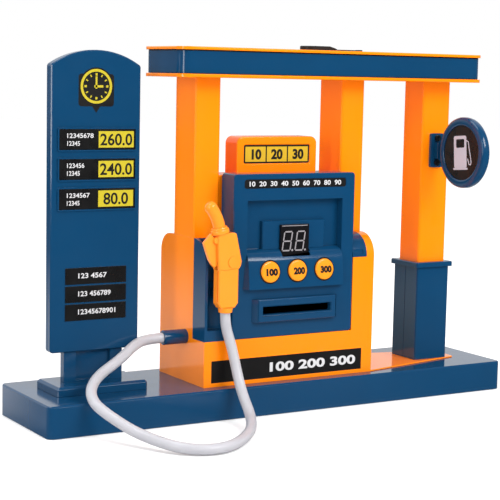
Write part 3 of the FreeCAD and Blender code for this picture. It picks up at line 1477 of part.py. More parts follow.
def make_trigger():
    half = trigger_thickness / 2
    blade = polygon_prism(trigger_outline(), nozzle_y - half, nozzle_y + half)
    rims = edges_at(blade, Y_AXIS, nozzle_y - half) + edges_at(blade, Y_AXIS, nozzle_y + half)
    blade = blade.makeChamfer(0.4, rims)
    pivot_x, pivot_z = trigger_pivot
    blade = blade.cut(rod(pivot_x, nozzle_y - 5, pivot_z, trigger_pin_radius + pin_clearance,
                          10, Y_AXIS))
    parts["trigger"] = blade
    parts["trigger_pin"] = rod(pivot_x, nozzle_y - nozzle_thickness / 2 + 1.0, pivot_z,
                               trigger_pin_radius, nozzle_thickness - 2.0, Y_AXIS)
    stem = stud(plunger_x, nozzle_y, valve_z, plunger_radius, plunger_length, X_AXIS)
    head = stud(plunger_x, nozzle_y, valve_z, spring_outer_radius, plunger_head_length, X_AXIS)
    parts["valve_plunger"] = stem.fuse(head).removeSplitter()
    spring_start = plunger_x + plunger_head_length
    coil = stud(spring_start, nozzle_y, valve_z, spring_outer_radius, guide_x[0] - spring_start,
                X_AXIS)
    parts["valve_spring"] = coil.cut(bore(spring_start - 1, nozzle_y, valve_z,
                                          plunger_radius + static_gap, 20, X_AXIS))


hose_route = [(-55.0, -37.75, 72.6), (-55.0, -37.75, 64.0), (-50.0, -39.0, 49.0),
              (-48.0, -48.0, 21.5), (-50.5, -69.0, 5.0), (-70.0, -97.0, 3.5),
              (-99.0, -121.0, 3.5), (-124.5, -113.0, 3.5), (-139.5, -83.0, 7.5),
              (-149.5, -64.5, 15.0), (-157.5, -46.0, 24.0), (-147.5, -29.0, 33.5),
              (-122.0, -17.5, 43.0), (-107.5, -9.5, 50.8), (-95.5, -4.95, 52.3),
              (-85.1, -4.95, 52.3)]


def make_hose():
    outlet = stud(pump_left - connector_length, connector_y, connector_z, connector_radius,
                  connector_length, X_AXIS, visible_sides)
    tip = edges_at(outlet, X_AXIS, pump_left - connector_length)
    outlet = outlet.makeChamfer(edge_break, tip)
    neck = stud(pump_left - 0.5, connector_y, connector_z, connector_neck_radius,
                feed_x - pump_left + 0.5, X_AXIS)
    riser_bottom = connector_z - riser_radius - 0.5
    riser = stud(feed_x, connector_y, riser_bottom, riser_radius, riser_height)
    level_bore = bore(pump_left - connector_length - 1, connector_y, connector_z, water_bore,
                      connector_length + feed_x - pump_left + 1, X_AXIS)
    up_bore = bore(feed_x, connector_y, connector_z - riser_bore - 0.2, riser_bore, 20.0)
    parts["hose_connector"] = joined([outlet, neck, riser]).cut([level_bore, up_bore])
    feed_bottom = riser_bottom + riser_height
    feed = stud(feed_x, connector_y, feed_bottom, feed_radius, outlet_bottom - feed_bottom)
    parts["feed_tube"] = feed.cut(bore(feed_x, connector_y, feed_bottom - 1, water_bore,
                                       outlet_bottom))
    parts["hose"] = tube_along([V(*p) for p in hose_route], hose_radius, "hose", hose_sides)


def main():
    make_base()
    make_battery_bay()
    make_power_switch()
    make_island()
    make_pump_case()
    make_back_cover()
    make_pump_front()
    make_card_slot()
    make_electronics()
    make_wire_loom()
    make_pillars()
    make_column()
    make_canopy()
    make_plug()
    make_head_and_marquee()
    make_pylon()
    make_blade_sign()
    make_nozzle()
    make_trigger()
    make_hose()
    os.makedirs("parts", exist_ok=True)
    for name, shape in parts.items():
        if not shape.isValid():
            print("not valid:", name)
        shape.exportStep("parts/" + name + ".step")
    print(len(parts), "nodes")


main()
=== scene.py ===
import bmesh
import bpy
import json
from math import asin, copysign, cos, pi, radians, sin, tan, tau
from mathutils import Matrix, Vector

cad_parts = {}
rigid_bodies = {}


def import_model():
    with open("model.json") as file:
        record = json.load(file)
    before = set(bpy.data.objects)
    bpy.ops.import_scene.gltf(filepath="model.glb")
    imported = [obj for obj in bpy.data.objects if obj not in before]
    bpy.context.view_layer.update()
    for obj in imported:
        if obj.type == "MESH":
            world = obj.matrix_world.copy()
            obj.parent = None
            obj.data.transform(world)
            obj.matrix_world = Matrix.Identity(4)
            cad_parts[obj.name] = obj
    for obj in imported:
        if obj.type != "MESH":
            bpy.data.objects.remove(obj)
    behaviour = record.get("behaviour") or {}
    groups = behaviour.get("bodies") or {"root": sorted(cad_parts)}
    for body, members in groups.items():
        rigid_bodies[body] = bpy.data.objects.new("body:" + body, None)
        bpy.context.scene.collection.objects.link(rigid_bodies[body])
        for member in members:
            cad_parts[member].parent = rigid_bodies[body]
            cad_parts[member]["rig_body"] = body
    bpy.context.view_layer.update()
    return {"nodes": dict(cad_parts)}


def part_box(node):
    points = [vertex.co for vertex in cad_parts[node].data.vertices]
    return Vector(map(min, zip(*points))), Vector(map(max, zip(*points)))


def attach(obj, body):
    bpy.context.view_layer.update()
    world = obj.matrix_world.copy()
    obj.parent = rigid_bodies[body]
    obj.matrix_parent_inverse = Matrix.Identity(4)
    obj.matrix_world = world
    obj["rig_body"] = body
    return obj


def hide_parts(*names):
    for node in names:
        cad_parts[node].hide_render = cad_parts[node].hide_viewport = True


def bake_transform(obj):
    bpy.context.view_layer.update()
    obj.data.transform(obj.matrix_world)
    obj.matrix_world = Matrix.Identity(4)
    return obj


# A toy service station: blue base, price pylon, orange pump between pillars under a tank roof,
# a round sign, and a nozzle on a soft hose. Metres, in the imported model's frame.
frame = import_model()
nodes = frame["nodes"]
mm = 0.001


# Camera and studio
# A long lens from the front left, a little above the base. The floor and backdrop are plain
# white card, lit by three large soft lamps. Polished faces mirror the white sweep behind and
# the near table, and the dim room in front.
scene = bpy.context.scene


def unit(x, y, z):
    """A direction of length one."""
    return Vector((x, y, z)).normalized()


def in_scene(name, data):
    """An object for a mesh, curve, lamp or camera, linked to the scene."""
    thing = bpy.data.objects.new(name, data)
    scene.collection.objects.link(thing)
    return thing


camera_yaw = radians(30.94)
camera_pitch = radians(6.70)
camera_roll = radians(1.205)
camera_place = (-0.5484, -0.8914, 0.2309)
focal_px = 1491.1
frame_px = 500
sensor_mm = 36.0

level_right = unit(cos(camera_yaw), -sin(camera_yaw), 0)
forward = unit(sin(camera_yaw) * cos(camera_pitch),
               cos(camera_yaw) * cos(camera_pitch), -sin(camera_pitch))
level_up = level_right.cross(forward)
right = cos(camera_roll) * level_right + sin(camera_roll) * level_up
up = -sin(camera_roll) * level_right + cos(camera_roll) * level_up
lens = bpy.data.cameras.new("camera")
lens.sensor_width = sensor_mm
lens.lens = focal_px / frame_px * sensor_mm
lens.clip_start = 0.01
lens.clip_end = 50
camera = in_scene("camera", lens)
camera.matrix_world = Matrix((
    (right.x, up.x, -forward.x, camera_place[0]),
    (right.y, up.y, -forward.y, camera_place[1]),
    (right.z, up.z, -forward.z, camera_place[2]),
    (0, 0, 0, 1)))
scene.camera = camera
scene.view_settings.view_transform = "Standard"


def feed(tree, node, inputs):
    """Gives a node its inputs: each is a value, a socket, or a node that gives its first output."""
    for name, value in inputs.items():
        if isinstance(value, bpy.types.Node):
            value = value.outputs[0]
        if isinstance(value, bpy.types.NodeSocket):
            tree.links.new(value, node.inputs[name])
        else:
            node.inputs[name].default_value = value
    return node


def put(tree, kind, inputs=None, **settings):
    """Adds a node with its settings and its inputs."""
    node = tree.nodes.new(kind)
    for name, value in settings.items():
        setattr(node, name, value)
    return feed(tree, node, inputs or {})


def linear(hex_color):
    """An sRGB hex colour as the linear one that shaders take."""
    parts = [int(hex_color[i:i + 2], 16) / 255 for i in (1, 3, 5)]
    return (*[c / 12.92 if c <= 0.04045 else ((c + 0.055) / 1.055) ** 2.4 for c in parts], 1)


room_level = 0.98
white_level = 1.0
dim_front = 0.15
horizon_level = 0.25
world = bpy.data.worlds.new("studio_light")
scene.world = world
world.use_nodes = True
tree = world.node_tree
tree.nodes.clear()
ray = put(tree, "ShaderNodeLightPath")
seen = put(tree, "ShaderNodeMath",
           {0: ray.outputs["Is Camera Ray"], 1: ray.outputs["Is Transmission Ray"]}, operation="MAXIMUM")
level = put(tree, "ShaderNodeMapRange",
            {"Value": seen, "To Min": room_level, "To Max": white_level})
compass = put(tree, "ShaderNodeSeparateXYZ", {"Vector": put(tree, "ShaderNodeTexCoord").outputs["Generated"]})
behind = put(tree, "ShaderNodeMapRange", {"Value": compass.outputs["Y"], "From Min": -0.2, "From Max": 0.2,
                                          "To Min": dim_front, "To Max": white_level})
high = put(tree, "ShaderNodeMapRange", {"Value": compass.outputs["Z"], "From Min": 0.03, "From Max": 0.13,
                                        "To Min": horizon_level, "To Max": white_level})
mirrored = put(tree, "ShaderNodeMath", {0: behind, 1: high}, operation="MULTIPLY")
shown = put(tree, "ShaderNodeMix", {"Factor": ray.outputs["Is Glossy Ray"], "A": level,
                                    "B": mirrored})
room = put(tree, "ShaderNodeBackground", {"Color": (1, 1, 1, 1), "Strength": shown})
put(tree, "ShaderNodeOutputWorld", {"Surface": room})


def soft_lamp(name, place, target, width, height, watts, color):
    """A large lamp that faces a point."""
    lamp = bpy.data.lights.new(name, "AREA")
    lamp.shape = "RECTANGLE"
    lamp.size = width
    lamp.size_y = height
    lamp.energy = watts
    lamp.color = color
    lamp_object = in_scene(name, lamp)
    lamp_object.location = place
    lamp_object.rotation_euler = (Vector(target) - Vector(place)).to_track_quat("-Z", "Y").to_euler()


soft_lamp("key_lamp", (0.55, -1.7, 1.25), (0, 0, 0.1), 1.2, 0.9, 32.0, (1.0, 0.99, 0.97))
soft_lamp("left_lamp", (-2.0, -0.75, 0.62), (0, 0, 0.3), 0.35, 1.2, 11.0, (1.0, 0.99, 0.98))
soft_lamp("top_lamp", (-0.5, 0.2, 1.7), (0, 0, 0.1), 1.0, 1.0, 9.6, (0.97, 0.98, 1.0))


def new_material(name):
    """A material and its node tree."""
    made = bpy.data.materials.new(name)
    made.use_nodes = True
    return made, made.node_tree


# White card: chalky, with a faint grain. Polished faces mirror it dimly in front of the toy and
# far away, and bright only in a strip that runs aslant.
front_level = 0.2
strip_slant = 0.6
strip_shift = 0.045
strip_half = 0.07
strip_fade = 0.15
beside_strip = 0.42
card, tree = new_material("white_studio_card")
tree.nodes.clear()
ray = put(tree, "ShaderNodeLightPath")
grain = put(tree, "ShaderNodeTexNoise", {"Scale": 60.0, "Detail": 3.0})
tone = put(tree, "ShaderNodeMapRange", {"Value": grain.outputs["Fac"], "To Min": 0.79, "To Max": 0.81})
place = put(tree, "ShaderNodeTexCoord")
side = put(tree, "ShaderNodeSeparateXYZ", {"Vector": place.outputs["Object"]})
ahead = put(tree, "ShaderNodeMapRange", {"Value": side.outputs["Y"], "From Min": -0.06, "From Max": 0.0,
                                         "To Min": front_level, "To Max": white_level})
reach = put(tree, "ShaderNodeVectorMath", {0: place.outputs["Object"]}, operation="LENGTH")
near = put(tree, "ShaderNodeMapRange", {"Value": reach.outputs["Value"], "From Min": 0.35, "From Max": 0.95,
                                        "To Min": white_level, "To Max": dim_front})
aslant = put(tree, "ShaderNodeMath", {0: side.outputs["Y"], 1: strip_slant, 2: side.outputs["X"]},
             operation="MULTIPLY_ADD")
shift = put(tree, "ShaderNodeMath", {0: aslant, 1: strip_shift}, operation="ADD")
away = put(tree, "ShaderNodeMath", {0: shift}, operation="ABSOLUTE")
strip = put(tree, "ShaderNodeMapRange",
            {"Value": away, "From Min": strip_half, "From Max": strip_fade,
             "To Min": white_level, "To Max": beside_strip})
table = put(tree, "ShaderNodeMath", {0: ahead, 1: near}, operation="MULTIPLY")
mirror = put(tree, "ShaderNodeMath", {0: table, 1: strip}, operation="MULTIPLY")
dim = put(tree, "ShaderNodeMix", {"Factor": ray.outputs["Is Glossy Ray"], "A": 1.0, "B": mirror})
shade = put(tree, "ShaderNodeMath", {0: tone, 1: dim}, operation="MULTIPLY")
paper = put(tree, "ShaderNodeBsdfDiffuse", {"Color": shade})
camera_glow = put(tree, "ShaderNodeMath", {0: ray.outputs["Is Camera Ray"], 1: 0.25}, operation="MULTIPLY")
glow = put(tree, "ShaderNodeEmission", {"Color": (1, 1, 1, 1), "Strength": camera_glow})
lit_card = put(tree, "ShaderNodeAddShader", {0: paper, 1: glow})
put(tree, "ShaderNodeOutputMaterial", {"Surface": lit_card})

floor_radius = 6
floor_drop = 0.0004
floor_sides = 64
floor_mesh = bpy.data.meshes.new("floor")
floor_turns = [k * tau / floor_sides for k in range(floor_sides)]
rim = [(floor_radius * cos(a), floor_radius * sin(a), -floor_drop) for a in floor_turns]
floor_mesh.from_pydata(rim, [], [list(range(floor_sides))])
floor_mesh.materials.append(card)
in_scene("floor", floor_mesh)


# Hose
# A soft, milky PVC tube, 7 mm outside. It hangs from the nozzle, lies in one loose loop on the
# table in front of the pylon and rises to the outlet on the pump's side.
def smooth_object(name, mesh, material, sharp_deg=35):
    """Puts a finished mesh in the scene, creased where faces meet sharply; None keeps its shading."""
    mesh.name = name
    mesh.materials.clear()
    mesh.materials.append(material)
    if sharp_deg:
        mesh.shade_smooth()
        mesh.set_sharp_from_angle(angle=radians(sharp_deg))
    return in_scene(name, mesh)


def evaluated_mesh(thing):
    """The mesh that an object gives with its modifiers, and the object is gone."""
    bpy.context.view_layer.update()
    mesh = bpy.data.meshes.new_from_object(thing.evaluated_get(bpy.context.evaluated_depsgraph_get()))
    bpy.data.objects.remove(thing)
    return mesh


# Milky PVC: soft, slightly lilac white that lets a little light through; moulded smooth.
cloud_mm = 14.0
milky_pvc, tree = new_material("milky_soft_PVC")
place = put(tree, "ShaderNodeTexCoord")
cloud = put(tree, "ShaderNodeTexNoise", {"Vector": place.outputs["Object"], "Scale": 1 / (cloud_mm * mm),
                                         "Detail": 2.0})
milk = put(tree, "ShaderNodeMix", {"Factor": cloud.outputs["Fac"], "A": linear("#bcbbc4"),
                                   "B": linear("#c7c6cf")}, data_type="RGBA")
scuff = put(tree, "ShaderNodeMapRange", {"Value": cloud.outputs["Fac"], "To Min": 0.24, "To Max": 0.36})
feed(tree, tree.nodes["Principled BSDF"], {
    "Base Color": milk.outputs["Result"], "Roughness": scuff, "IOR": 1.53,
    "Subsurface Weight": 0.7, "Subsurface Radius": (1.0, 0.95, 1.0), "Subsurface Scale": 0.006,
    "Transmission Weight": 0.12})

# The route's first and last points are the nozzle's socket and the outlet on the pump's side.
hose_route_mm = (
    (-55, -37.75, 72.6), (-55, -37.75, 64), (-50, -39, 49), (-48, -48, 21.5), (-50.5, -69, 5),
    (-70, -97, 3.5), (-99, -121, 3.5), (-124.5, -113, 3.5), (-139.5, -83, 7.5), (-149.5, -64.5, 15),
    (-157.5, -46, 24), (-147.5, -29, 33.5), (-122, -17.5, 43), (-107.5, -9.5, 50.8),
    (-95.5, -4.95, 52.3), (-85.1, -4.95, 52.3))
hose_outer = 3.5 * mm
hose_bore = 2.5 * mm
hose_sides = 24

route = bpy.data.curves.new("hose_route", "CURVE")
route.dimensions = "3D"
route.resolution_u = 16
spline = route.splines.new("NURBS")
spline.points.add(len(hose_route_mm) - 1)
for point, (x, y, z) in zip(spline.points, hose_route_mm):
    point.co = (x * mm, y * mm, z * mm, 1)
spline.order_u = 3
spline.use_endpoint_u = True
line = evaluated_mesh(in_scene("hose_route", route))
hose_path = [v.co.copy() for v in line.vertices]


def tube_mesh(name, path, outer, bore, sides):
    """A tube with a wall along a path, with flat ring ends."""
    verts = []
    faces = []
    across = None
    for i, here in enumerate(path):
        along = (path[min(i + 1, len(path) - 1)] - path[max(i - 1, 0)]).normalized()
        if across is None:
            across = along.orthogonal().normalized()
        across = (across - along * across.dot(along)).normalized()
        other = along.cross(across)
        for radius in (outer, bore):
            for k in range(sides):
                a = k * tau / sides
                verts.append(here + radius * (cos(a) * across + sin(a) * other))
    ring = 2 * sides
    for i in range(len(path) - 1):
        for k in range(sides):
            n = (k + 1) % sides
            a, b = i * ring, (i + 1) * ring
            faces.append((a + k, a + n, b + n, b + k))
            faces.append((a + sides + n, a + sides + k, b + sides + k, b + sides + n))
    last = (len(path) - 1) * ring
    for k in range(sides):
        n = (k + 1) % sides
        faces.append((k, k + sides, n + sides, n))
        faces.append((last + k, last + n, last + n + sides, last + k + sides))
    mesh = bpy.data.meshes.new(name)
    mesh.from_pydata(verts, [], faces)
    return mesh


hose_tube = tube_mesh("soft_hose", hose_path, hose_outer, hose_bore, hose_sides)
hose = smooth_object("soft_hose", hose_tube, milky_pvc)
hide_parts("hose")
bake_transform(hose)


# Base
# One long box of blue ABS, open below, with its walls polished in the mould. The closing plate
# below is screwed on and has the matt finish of a spark-eroded mould.
flow_mm = 45
haze_mm = 9


def moulded_plastic(name, color, darker, roughness, ripple_mm, ripple_height, ior):
    """Injection-moulded plastic: even colour with slow flow marks, gloss that varies a little."""
    made, tree = new_material(name)
    where = put(tree, "ShaderNodeTexCoord").outputs["Object"]
    flow = put(tree, "ShaderNodeTexNoise",
               {"Vector": where, "Scale": 1 / (flow_mm * mm), "Detail": 2.0, "Distortion": 0.6})
    tint = put(tree, "ShaderNodeMix",
               {"Factor": flow.outputs["Fac"], "A": linear(darker), "B": linear(color)}, data_type="RGBA")
    haze = put(tree, "ShaderNodeTexNoise", {"Vector": where, "Scale": 1 / (haze_mm * mm), "Detail": 4.0})
    gloss = put(tree, "ShaderNodeMapRange",
                {"Value": haze.outputs["Fac"], "From Min": 0.3, "From Max": 0.7,
                 "To Min": roughness * 0.8, "To Max": roughness * 1.25})
    skin_wave = put(tree, "ShaderNodeTexNoise",
                    {"Vector": where, "Scale": 1 / (ripple_mm * mm), "Detail": 1.0})
    relief = put(tree, "ShaderNodeBump",
                 {"Height": skin_wave.outputs["Fac"], "Distance": ripple_height * mm, "Strength": 1.0})
    feed(tree, tree.nodes["Principled BSDF"], {
        "Base Color": tint.outputs["Result"], "Roughness": gloss, "Normal": relief,
        "IOR": ior, "Specular IOR Level": 0.4})
    return made


# Polished ABS: deep colour under a clean gloss that mirrors the white room at low angles.
blue_abs = moulded_plastic("glossy_blue_ABS", "#0c3d61", "#0a385a", 0.12, 5.0, 0.005, 1.54)
# The same ABS from an eroded mould: a fine matt grain, seen below and inside.
matt_blue_abs = moulded_plastic("matt_blue_ABS", "#0e3c5e", "#0b3656", 0.42, 0.7, 0.02, 1.54)


def welded(node, joined=True):
    """A clean mesh of a CAD node: doubles merged, flat faces joined if wished."""
    source = nodes[node].data
    shape = bmesh.new()
    corners = [shape.verts.new(v.co) for v in source.vertices]
    for face in source.polygons:
        try:
            shape.faces.new([corners[i] for i in face.vertices])
        except ValueError:
            # The same face a second time is left out.
            pass
    bmesh.ops.remove_doubles(shape, verts=shape.verts, dist=2e-6)
    if joined:
        bmesh.ops.dissolve_limit(shape, angle_limit=radians(0.4), verts=shape.verts, edges=shape.edges)
    return shape


def drawing(outlines, depth, rounding=0.0):
    """Flat plate in mm from outlines in its XY plane: an outline inside another is a hole."""
    curve = bpy.data.curves.new("drawing", "CURVE")
    curve.dimensions = "2D"
    curve.fill_mode = "BOTH"
    curve.extrude = depth
    curve.bevel_depth = rounding
    curve.bevel_resolution = 1
    for outline in outlines:
        line_of = curve.splines.new("POLY")
        line_of.points.add(len(outline) - 1)
        for point, (x, y) in zip(line_of.points, outline):
            point.co = (x, y, 0, 1)
        line_of.use_cyclic_u = True
    return evaluated_mesh(in_scene("drawing", curve))


def disc(x, y, radius, sides=64):
    """Outline of a circle."""
    return [(x + radius * cos(k * tau / sides), y + radius * sin(k * tau / sides))
            for k in range(sides)]


def panel(x, y, radius=0.0):
    """Outline of a rectangle between two pairs of limits, its corners rounded."""
    if radius == 0:
        return [(x[0], y[0]), (x[1], y[0]), (x[1], y[1]), (x[0], y[1])]
    outline = []
    for cx, cy, turn in ((x[1] - radius, y[1] - radius, 0), (x[0] + radius, y[1] - radius, 90),
                         (x[0] + radius, y[0] + radius, 180), (x[1] - radius, y[0] + radius, 270)):
        for step in range(7):
            a = radians(turn + 15 * step)
            outline.append((cx + radius * cos(a), cy + radius * sin(a)))
    return outline


def about(middle, size):
    """The two limits of a length about its middle."""
    return (middle - size / 2, middle + size / 2)


def cut_by(rough, mesh, operation):
    """Adds a cut to an object, and gives the object that cuts."""
    cutter = in_scene("cutter", mesh)
    cut = rough.modifiers.new("cut", "BOOLEAN")
    cut.object = cutter
    cut.operation = operation
    cut.solver = "EXACT"
    return cutter


def fixed(name, mesh, material, sharp_deg, node, instead=False):
    """Puts a finished mesh in the scene on a CAD node's body, and instead of the node if wished."""
    thing = smooth_object(name, mesh, material, sharp_deg)
    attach(thing, nodes[node]["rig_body"])
    if instead:
        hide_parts(node)


prism_half = 150
prism_middle = 130


def moulded(node, material, edge_mm=0.3, segments=2, notches=(), joined=True, reshape=None, within=None):
    """Stands for a CAD node: its welded copy with sharp edges rounded. Box notches in mm are cut,
    reshape moves a vertex, and within is the outline seen from above that the piece keeps to."""
    shape = welded(node, joined)
    mesh = bpy.data.meshes.new(node)
    shape.to_mesh(mesh)
    shape.free()
    mesh.shade_smooth()
    if reshape:
        for vertex in mesh.vertices:
            vertex.co = reshape(vertex.co)
    rough = in_scene("rough", mesh)
    cutters = []
    if within:
        prism = drawing([within], prism_half)
        prism.transform(Matrix.Scale(mm, 4) @ Matrix.Translation((0, 0, prism_middle)))
        prism.shade_smooth()
        cutters.append(cut_by(rough, prism, "INTERSECT"))
    for low, high in notches:
        cube = bmesh.new()
        bmesh.ops.create_cube(cube, size=1)
        box = bpy.data.meshes.new("notch")
        cube.to_mesh(box)
        cube.free()
        low, high = Vector(low) * mm, Vector(high) * mm
        box.transform(Matrix.Translation((low + high) / 2) @ Matrix.Diagonal((*(high - low), 1)))
        cutters.append(cut_by(rough, box, "DIFFERENCE"))
    bevel = rough.modifiers.new("edges", "BEVEL")
    bevel.width = edge_mm * mm
    bevel.segments = segments
    bevel.limit_method = "ANGLE"
    bevel.angle_limit = radians(30)
    bevel.use_clamp_overlap = True
    bevel.miter_outer = "MITER_ARC"
    bevel.harden_normals = True
    done = evaluated_mesh(rough)
    for cutter in cutters:
        bpy.data.objects.remove(cutter)
    fixed(node + "_moulded", done, material, None, node, instead=True)


def finished(node, material):
    """Keeps a CAD node as it is, with a better material."""
    data = nodes[node].data
    data.materials.clear()
    data.materials.append(material)


base_low, base_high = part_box("base_shell")
base_corner = 5.0
skin_room = 0.05
base_outline = panel((base_low.x / mm - skin_room, base_high.x / mm + skin_room),
                     (base_low.y / mm - skin_room, base_high.y / mm + skin_room), base_corner)
moulded("base_shell", blue_abs, 0.35, within=base_outline)
moulded("base_plate", matt_blue_abs)
moulded("battery_door", matt_blue_abs, 0.25)

# Zinc-plated steel: bright, faintly blue, cloudy where the plating dried.
zinc, tree = new_material("zinc_plated_steel")
place = put(tree, "ShaderNodeTexCoord")
spangle = put(tree, "ShaderNodeTexNoise", {"Vector": place.outputs["Object"], "Scale": 1 / (0.8 * mm),
                                           "Detail": 3.0})
plating = put(tree, "ShaderNodeMix", {"Factor": spangle.outputs["Fac"], "A": linear("#a9adb3"),
                                      "B": linear("#c6c9cd")}, data_type="RGBA")
wear = put(tree, "ShaderNodeMapRange", {"Value": spangle.outputs["Fac"], "To Min": 0.22, "To Max": 0.42})
feed(tree, tree.nodes["Principled BSDF"],
     {"Base Color": plating.outputs["Result"], "Roughness": wear, "Metallic": 1.0})


def gathered(name, meshes):
    """One mesh of several, each given with the matrix that places it."""
    shape = bmesh.new()
    for mesh, matrix in meshes:
        mesh.transform(matrix)
        shape.from_mesh(mesh)
    whole = bpy.data.meshes.new(name)
    shape.to_mesh(whole)
    shape.free()
    return whole


def laid_on(origin_mm, across, up):
    """Lays a drawing in mm on a surface: its X runs across, its Y up, its Z out of the surface."""
    side = Vector(across).normalized()
    rise = Vector(up).normalized()
    turn = Matrix((side, rise, side.cross(rise))).transposed().to_4x4()
    return Matrix.Translation(Vector(origin_mm) * mm) @ turn @ Matrix.Scale(mm, 4)


# Screws: pan heads with a cross recess, one master that a node tree sets at every place.
screw_head_radius = 2.5
screw_head_height = 1.6
screw_shank_radius = 1.25
cross_arm = 1.45
cross_half = 0.36


def screw_mesh(length):
    """Screw in mm: its head's top is at the origin and its shank runs down -Z."""
    cross = []
    arm = [(cross_half, cross_half), (cross_half, cross_arm), (-cross_half, cross_arm)]
    for _ in range(4):
        cross += arm
        arm = [(-y, x) for x, y in arm]
    crown = drawing([disc(0, 0, screw_head_radius - 0.3, 32), cross], 0.25, 0.25)
    under = drawing([disc(0, 0, screw_head_radius - 0.05, 32)], (screw_head_height - 1.0) / 2)
    shank = drawing([disc(0, 0, screw_shank_radius, 16)], (length - screw_head_height) / 2)
    return gathered("screw", [
        (crown, Matrix.Translation((0, 0, -0.5))),
        (under, Matrix.Translation((0, 0, -(screw_head_height + 1.0) / 2))),
        (shank, Matrix.Translation((0, 0, -(length + screw_head_height) / 2)))])


screw_tree = bpy.data.node_groups.new("screws_at_places", "GeometryNodeTree")
for label, way, kind in (("Geometry", "INPUT", "Geometry"), ("Screw", "INPUT", "Object"),
                         ("Out", "INPUT", "Vector"), ("Material", "INPUT", "Material"),
                         ("Geometry", "OUTPUT", "Geometry")):
    screw_tree.interface.new_socket(label, in_out=way, socket_type="NodeSocket" + kind)
given = put(screw_tree, "NodeGroupInput")
master = put(screw_tree, "GeometryNodeObjectInfo", {"Object": given.outputs["Screw"]})
facing = put(screw_tree, "FunctionNodeAlignRotationToVector", {"Vector": given.outputs["Out"]}, axis="Z")
spread = put(screw_tree, "GeometryNodeInstanceOnPoints",
             {"Points": given.outputs["Geometry"], "Instance": master.outputs["Geometry"],
              "Rotation": facing, "Scale": (mm, mm, mm)})
real = put(screw_tree, "GeometryNodeRealizeInstances", {"Geometry": spread})
dressed = put(screw_tree, "GeometryNodeSetMaterial",
              {"Geometry": real, "Material": given.outputs["Material"]})
put(screw_tree, "NodeGroupOutput", {"Geometry": dressed})


def loose_boxes(node):
    """Lowest and highest corner of each separate solid in a CAD node."""
    shape = welded(node)
    left = set(shape.verts)
    boxes = []
    while left:
        front = [left.pop()]
        found = list(front)
        while front:
            for edge in front.pop().link_edges:
                for vert in edge.verts:
                    if vert in left:
                        left.remove(vert)
                        front.append(vert)
                        found.append(vert)
        boxes.append([Vector([pick(v.co[i] for v in found) for i in range(3)]) for pick in (min, max)])
    shape.free()
    return boxes


def fitted_screws(node, out, steel):
    """Stands for a CAD node of screws: the master screw at each one's place, heads facing out."""
    out = Vector(out)
    places = []
    length = 0
    for low, high in loose_boxes(node):
        middle = (low + high) / 2
        half = abs((high - low).dot(out)) / 2
        places.append(middle + out * half)
        length = max(length, 2 * half)
    master_screw = in_scene("master_screw", screw_mesh(length / mm))
    mesh = bpy.data.meshes.new("places")
    mesh.from_pydata(places, [], [])
    screws = in_scene("places", mesh)
    modifier = screws.modifiers.new("screws", "NODES")
    modifier.node_group = screw_tree
    values = {"Screw": master_screw, "Out": out, "Material": steel}
    for item in screw_tree.interface.items_tree:
        if item.name in values:
            modifier[item.identifier] = values[item.name]
    done = evaluated_mesh(screws)
    bpy.data.objects.remove(master_screw)
    fixed(node + "_fitted", done, steel, 40, node, instead=True)


fitted_screws("base_plate_screws", (0, 0, -1), zinc)
finished("base_top_screws", zinc)


# Batteries, switch and electronics
# Three AA cells in a black tray, sprung nickel strips, a slide switch, and the board with its
# rubber key mat behind the buttons. Hidden by the housings, but finished all the same.

# Black ABS: near black, with the soft gloss of a plain moulding.
black_abs = moulded_plastic("black_ABS", "#101011", "#0d0d0e", 0.28, 3.0, 0.006, 1.54)
# A printed foil jacket gleams, a lacquered board is green and glossy, silicone is dull and grey,
# and wire in PVC is red with a soft gloss.
cell_jacket = moulded_plastic("printed_cell_jacket", "#26262a", "#1f1f22", 0.25, 6.0, 0.004, 1.5)
laminate = moulded_plastic("green_board_laminate", "#1b5b33", "#14482a", 0.3, 1.2, 0.01, 1.5)
grey_silicone = moulded_plastic("grey_silicone_rubber", "#a2a3a4", "#97989a", 0.55, 0.9, 0.01, 1.43)
red_pvc = moulded_plastic("red_wire_PVC", "#a3261f", "#8f1f1a", 0.35, 2.0, 0.004, 1.5)
# Nickel plate is as bright as zinc here.
nickel = zinc.copy()
nickel.name = "nickel_plated_strip"
for node, material in (
        ("battery_box", black_abs), ("battery_cells", cell_jacket), ("battery_contacts", nickel),
        ("power_switch", black_abs), ("speaker", black_abs), ("circuit_board", laminate),
        ("board_screws", zinc), ("keypad_mat", grey_silicone), ("wire_loom", red_pvc),
        ("feed_tube", milky_pvc)):
    finished(node, material)
moulded("power_knob", black_abs, 0.2)


# Island plate
# A thin orange moulding that is snapped on the base right of the pump, in the same polished
# plastic as the pump's case.

# Orange ABS: a bright, warm colour under the same clean gloss as the blue.
orange_abs = moulded_plastic("glossy_orange_ABS", "#fd8606", "#fa8204", 0.13, 5.0, 0.006, 1.54)
moulded("island_plate", orange_abs)


# Pump case and labels
# The orange case with rounded shoulders, its screwed back cover with the speaker behind a slot
# grille, and the black film label low on its front, with plain numerals.
moulded("pump_case", orange_abs, 0.35)
moulded("pump_back_cover", orange_abs, 0.2, joined=False)
fitted_screws("back_cover_screws", (0, 1, 0), zinc)

# Printed vinyl film: smooth, thin, a soft gloss; black ground, white or yellow ink on it.
black_film = moulded_plastic("black_vinyl_film", "#121112", "#0f0e0f", 0.45, 3.0, 0.002, 1.4)
white_ink = moulded_plastic("white_screen_ink", "#cbcbcd", "#c5c5c8", 0.5, 1.5, 0.002, 1.5)
yellow_ink = moulded_plastic("yellow_screen_ink", "#d0a90c", "#c8a208", 0.45, 2.0, 0.002, 1.5)
price_ink = moulded_plastic("lemon_screen_ink", "#bcab0d", "#b4a30a", 0.45, 2.0, 0.002, 1.5)
black_ink = moulded_plastic("black_screen_ink", "#0c0a0a", "#090808", 0.5, 1.5, 0.002, 1.5)

film_rise = 0.04
digit_share = 0.70


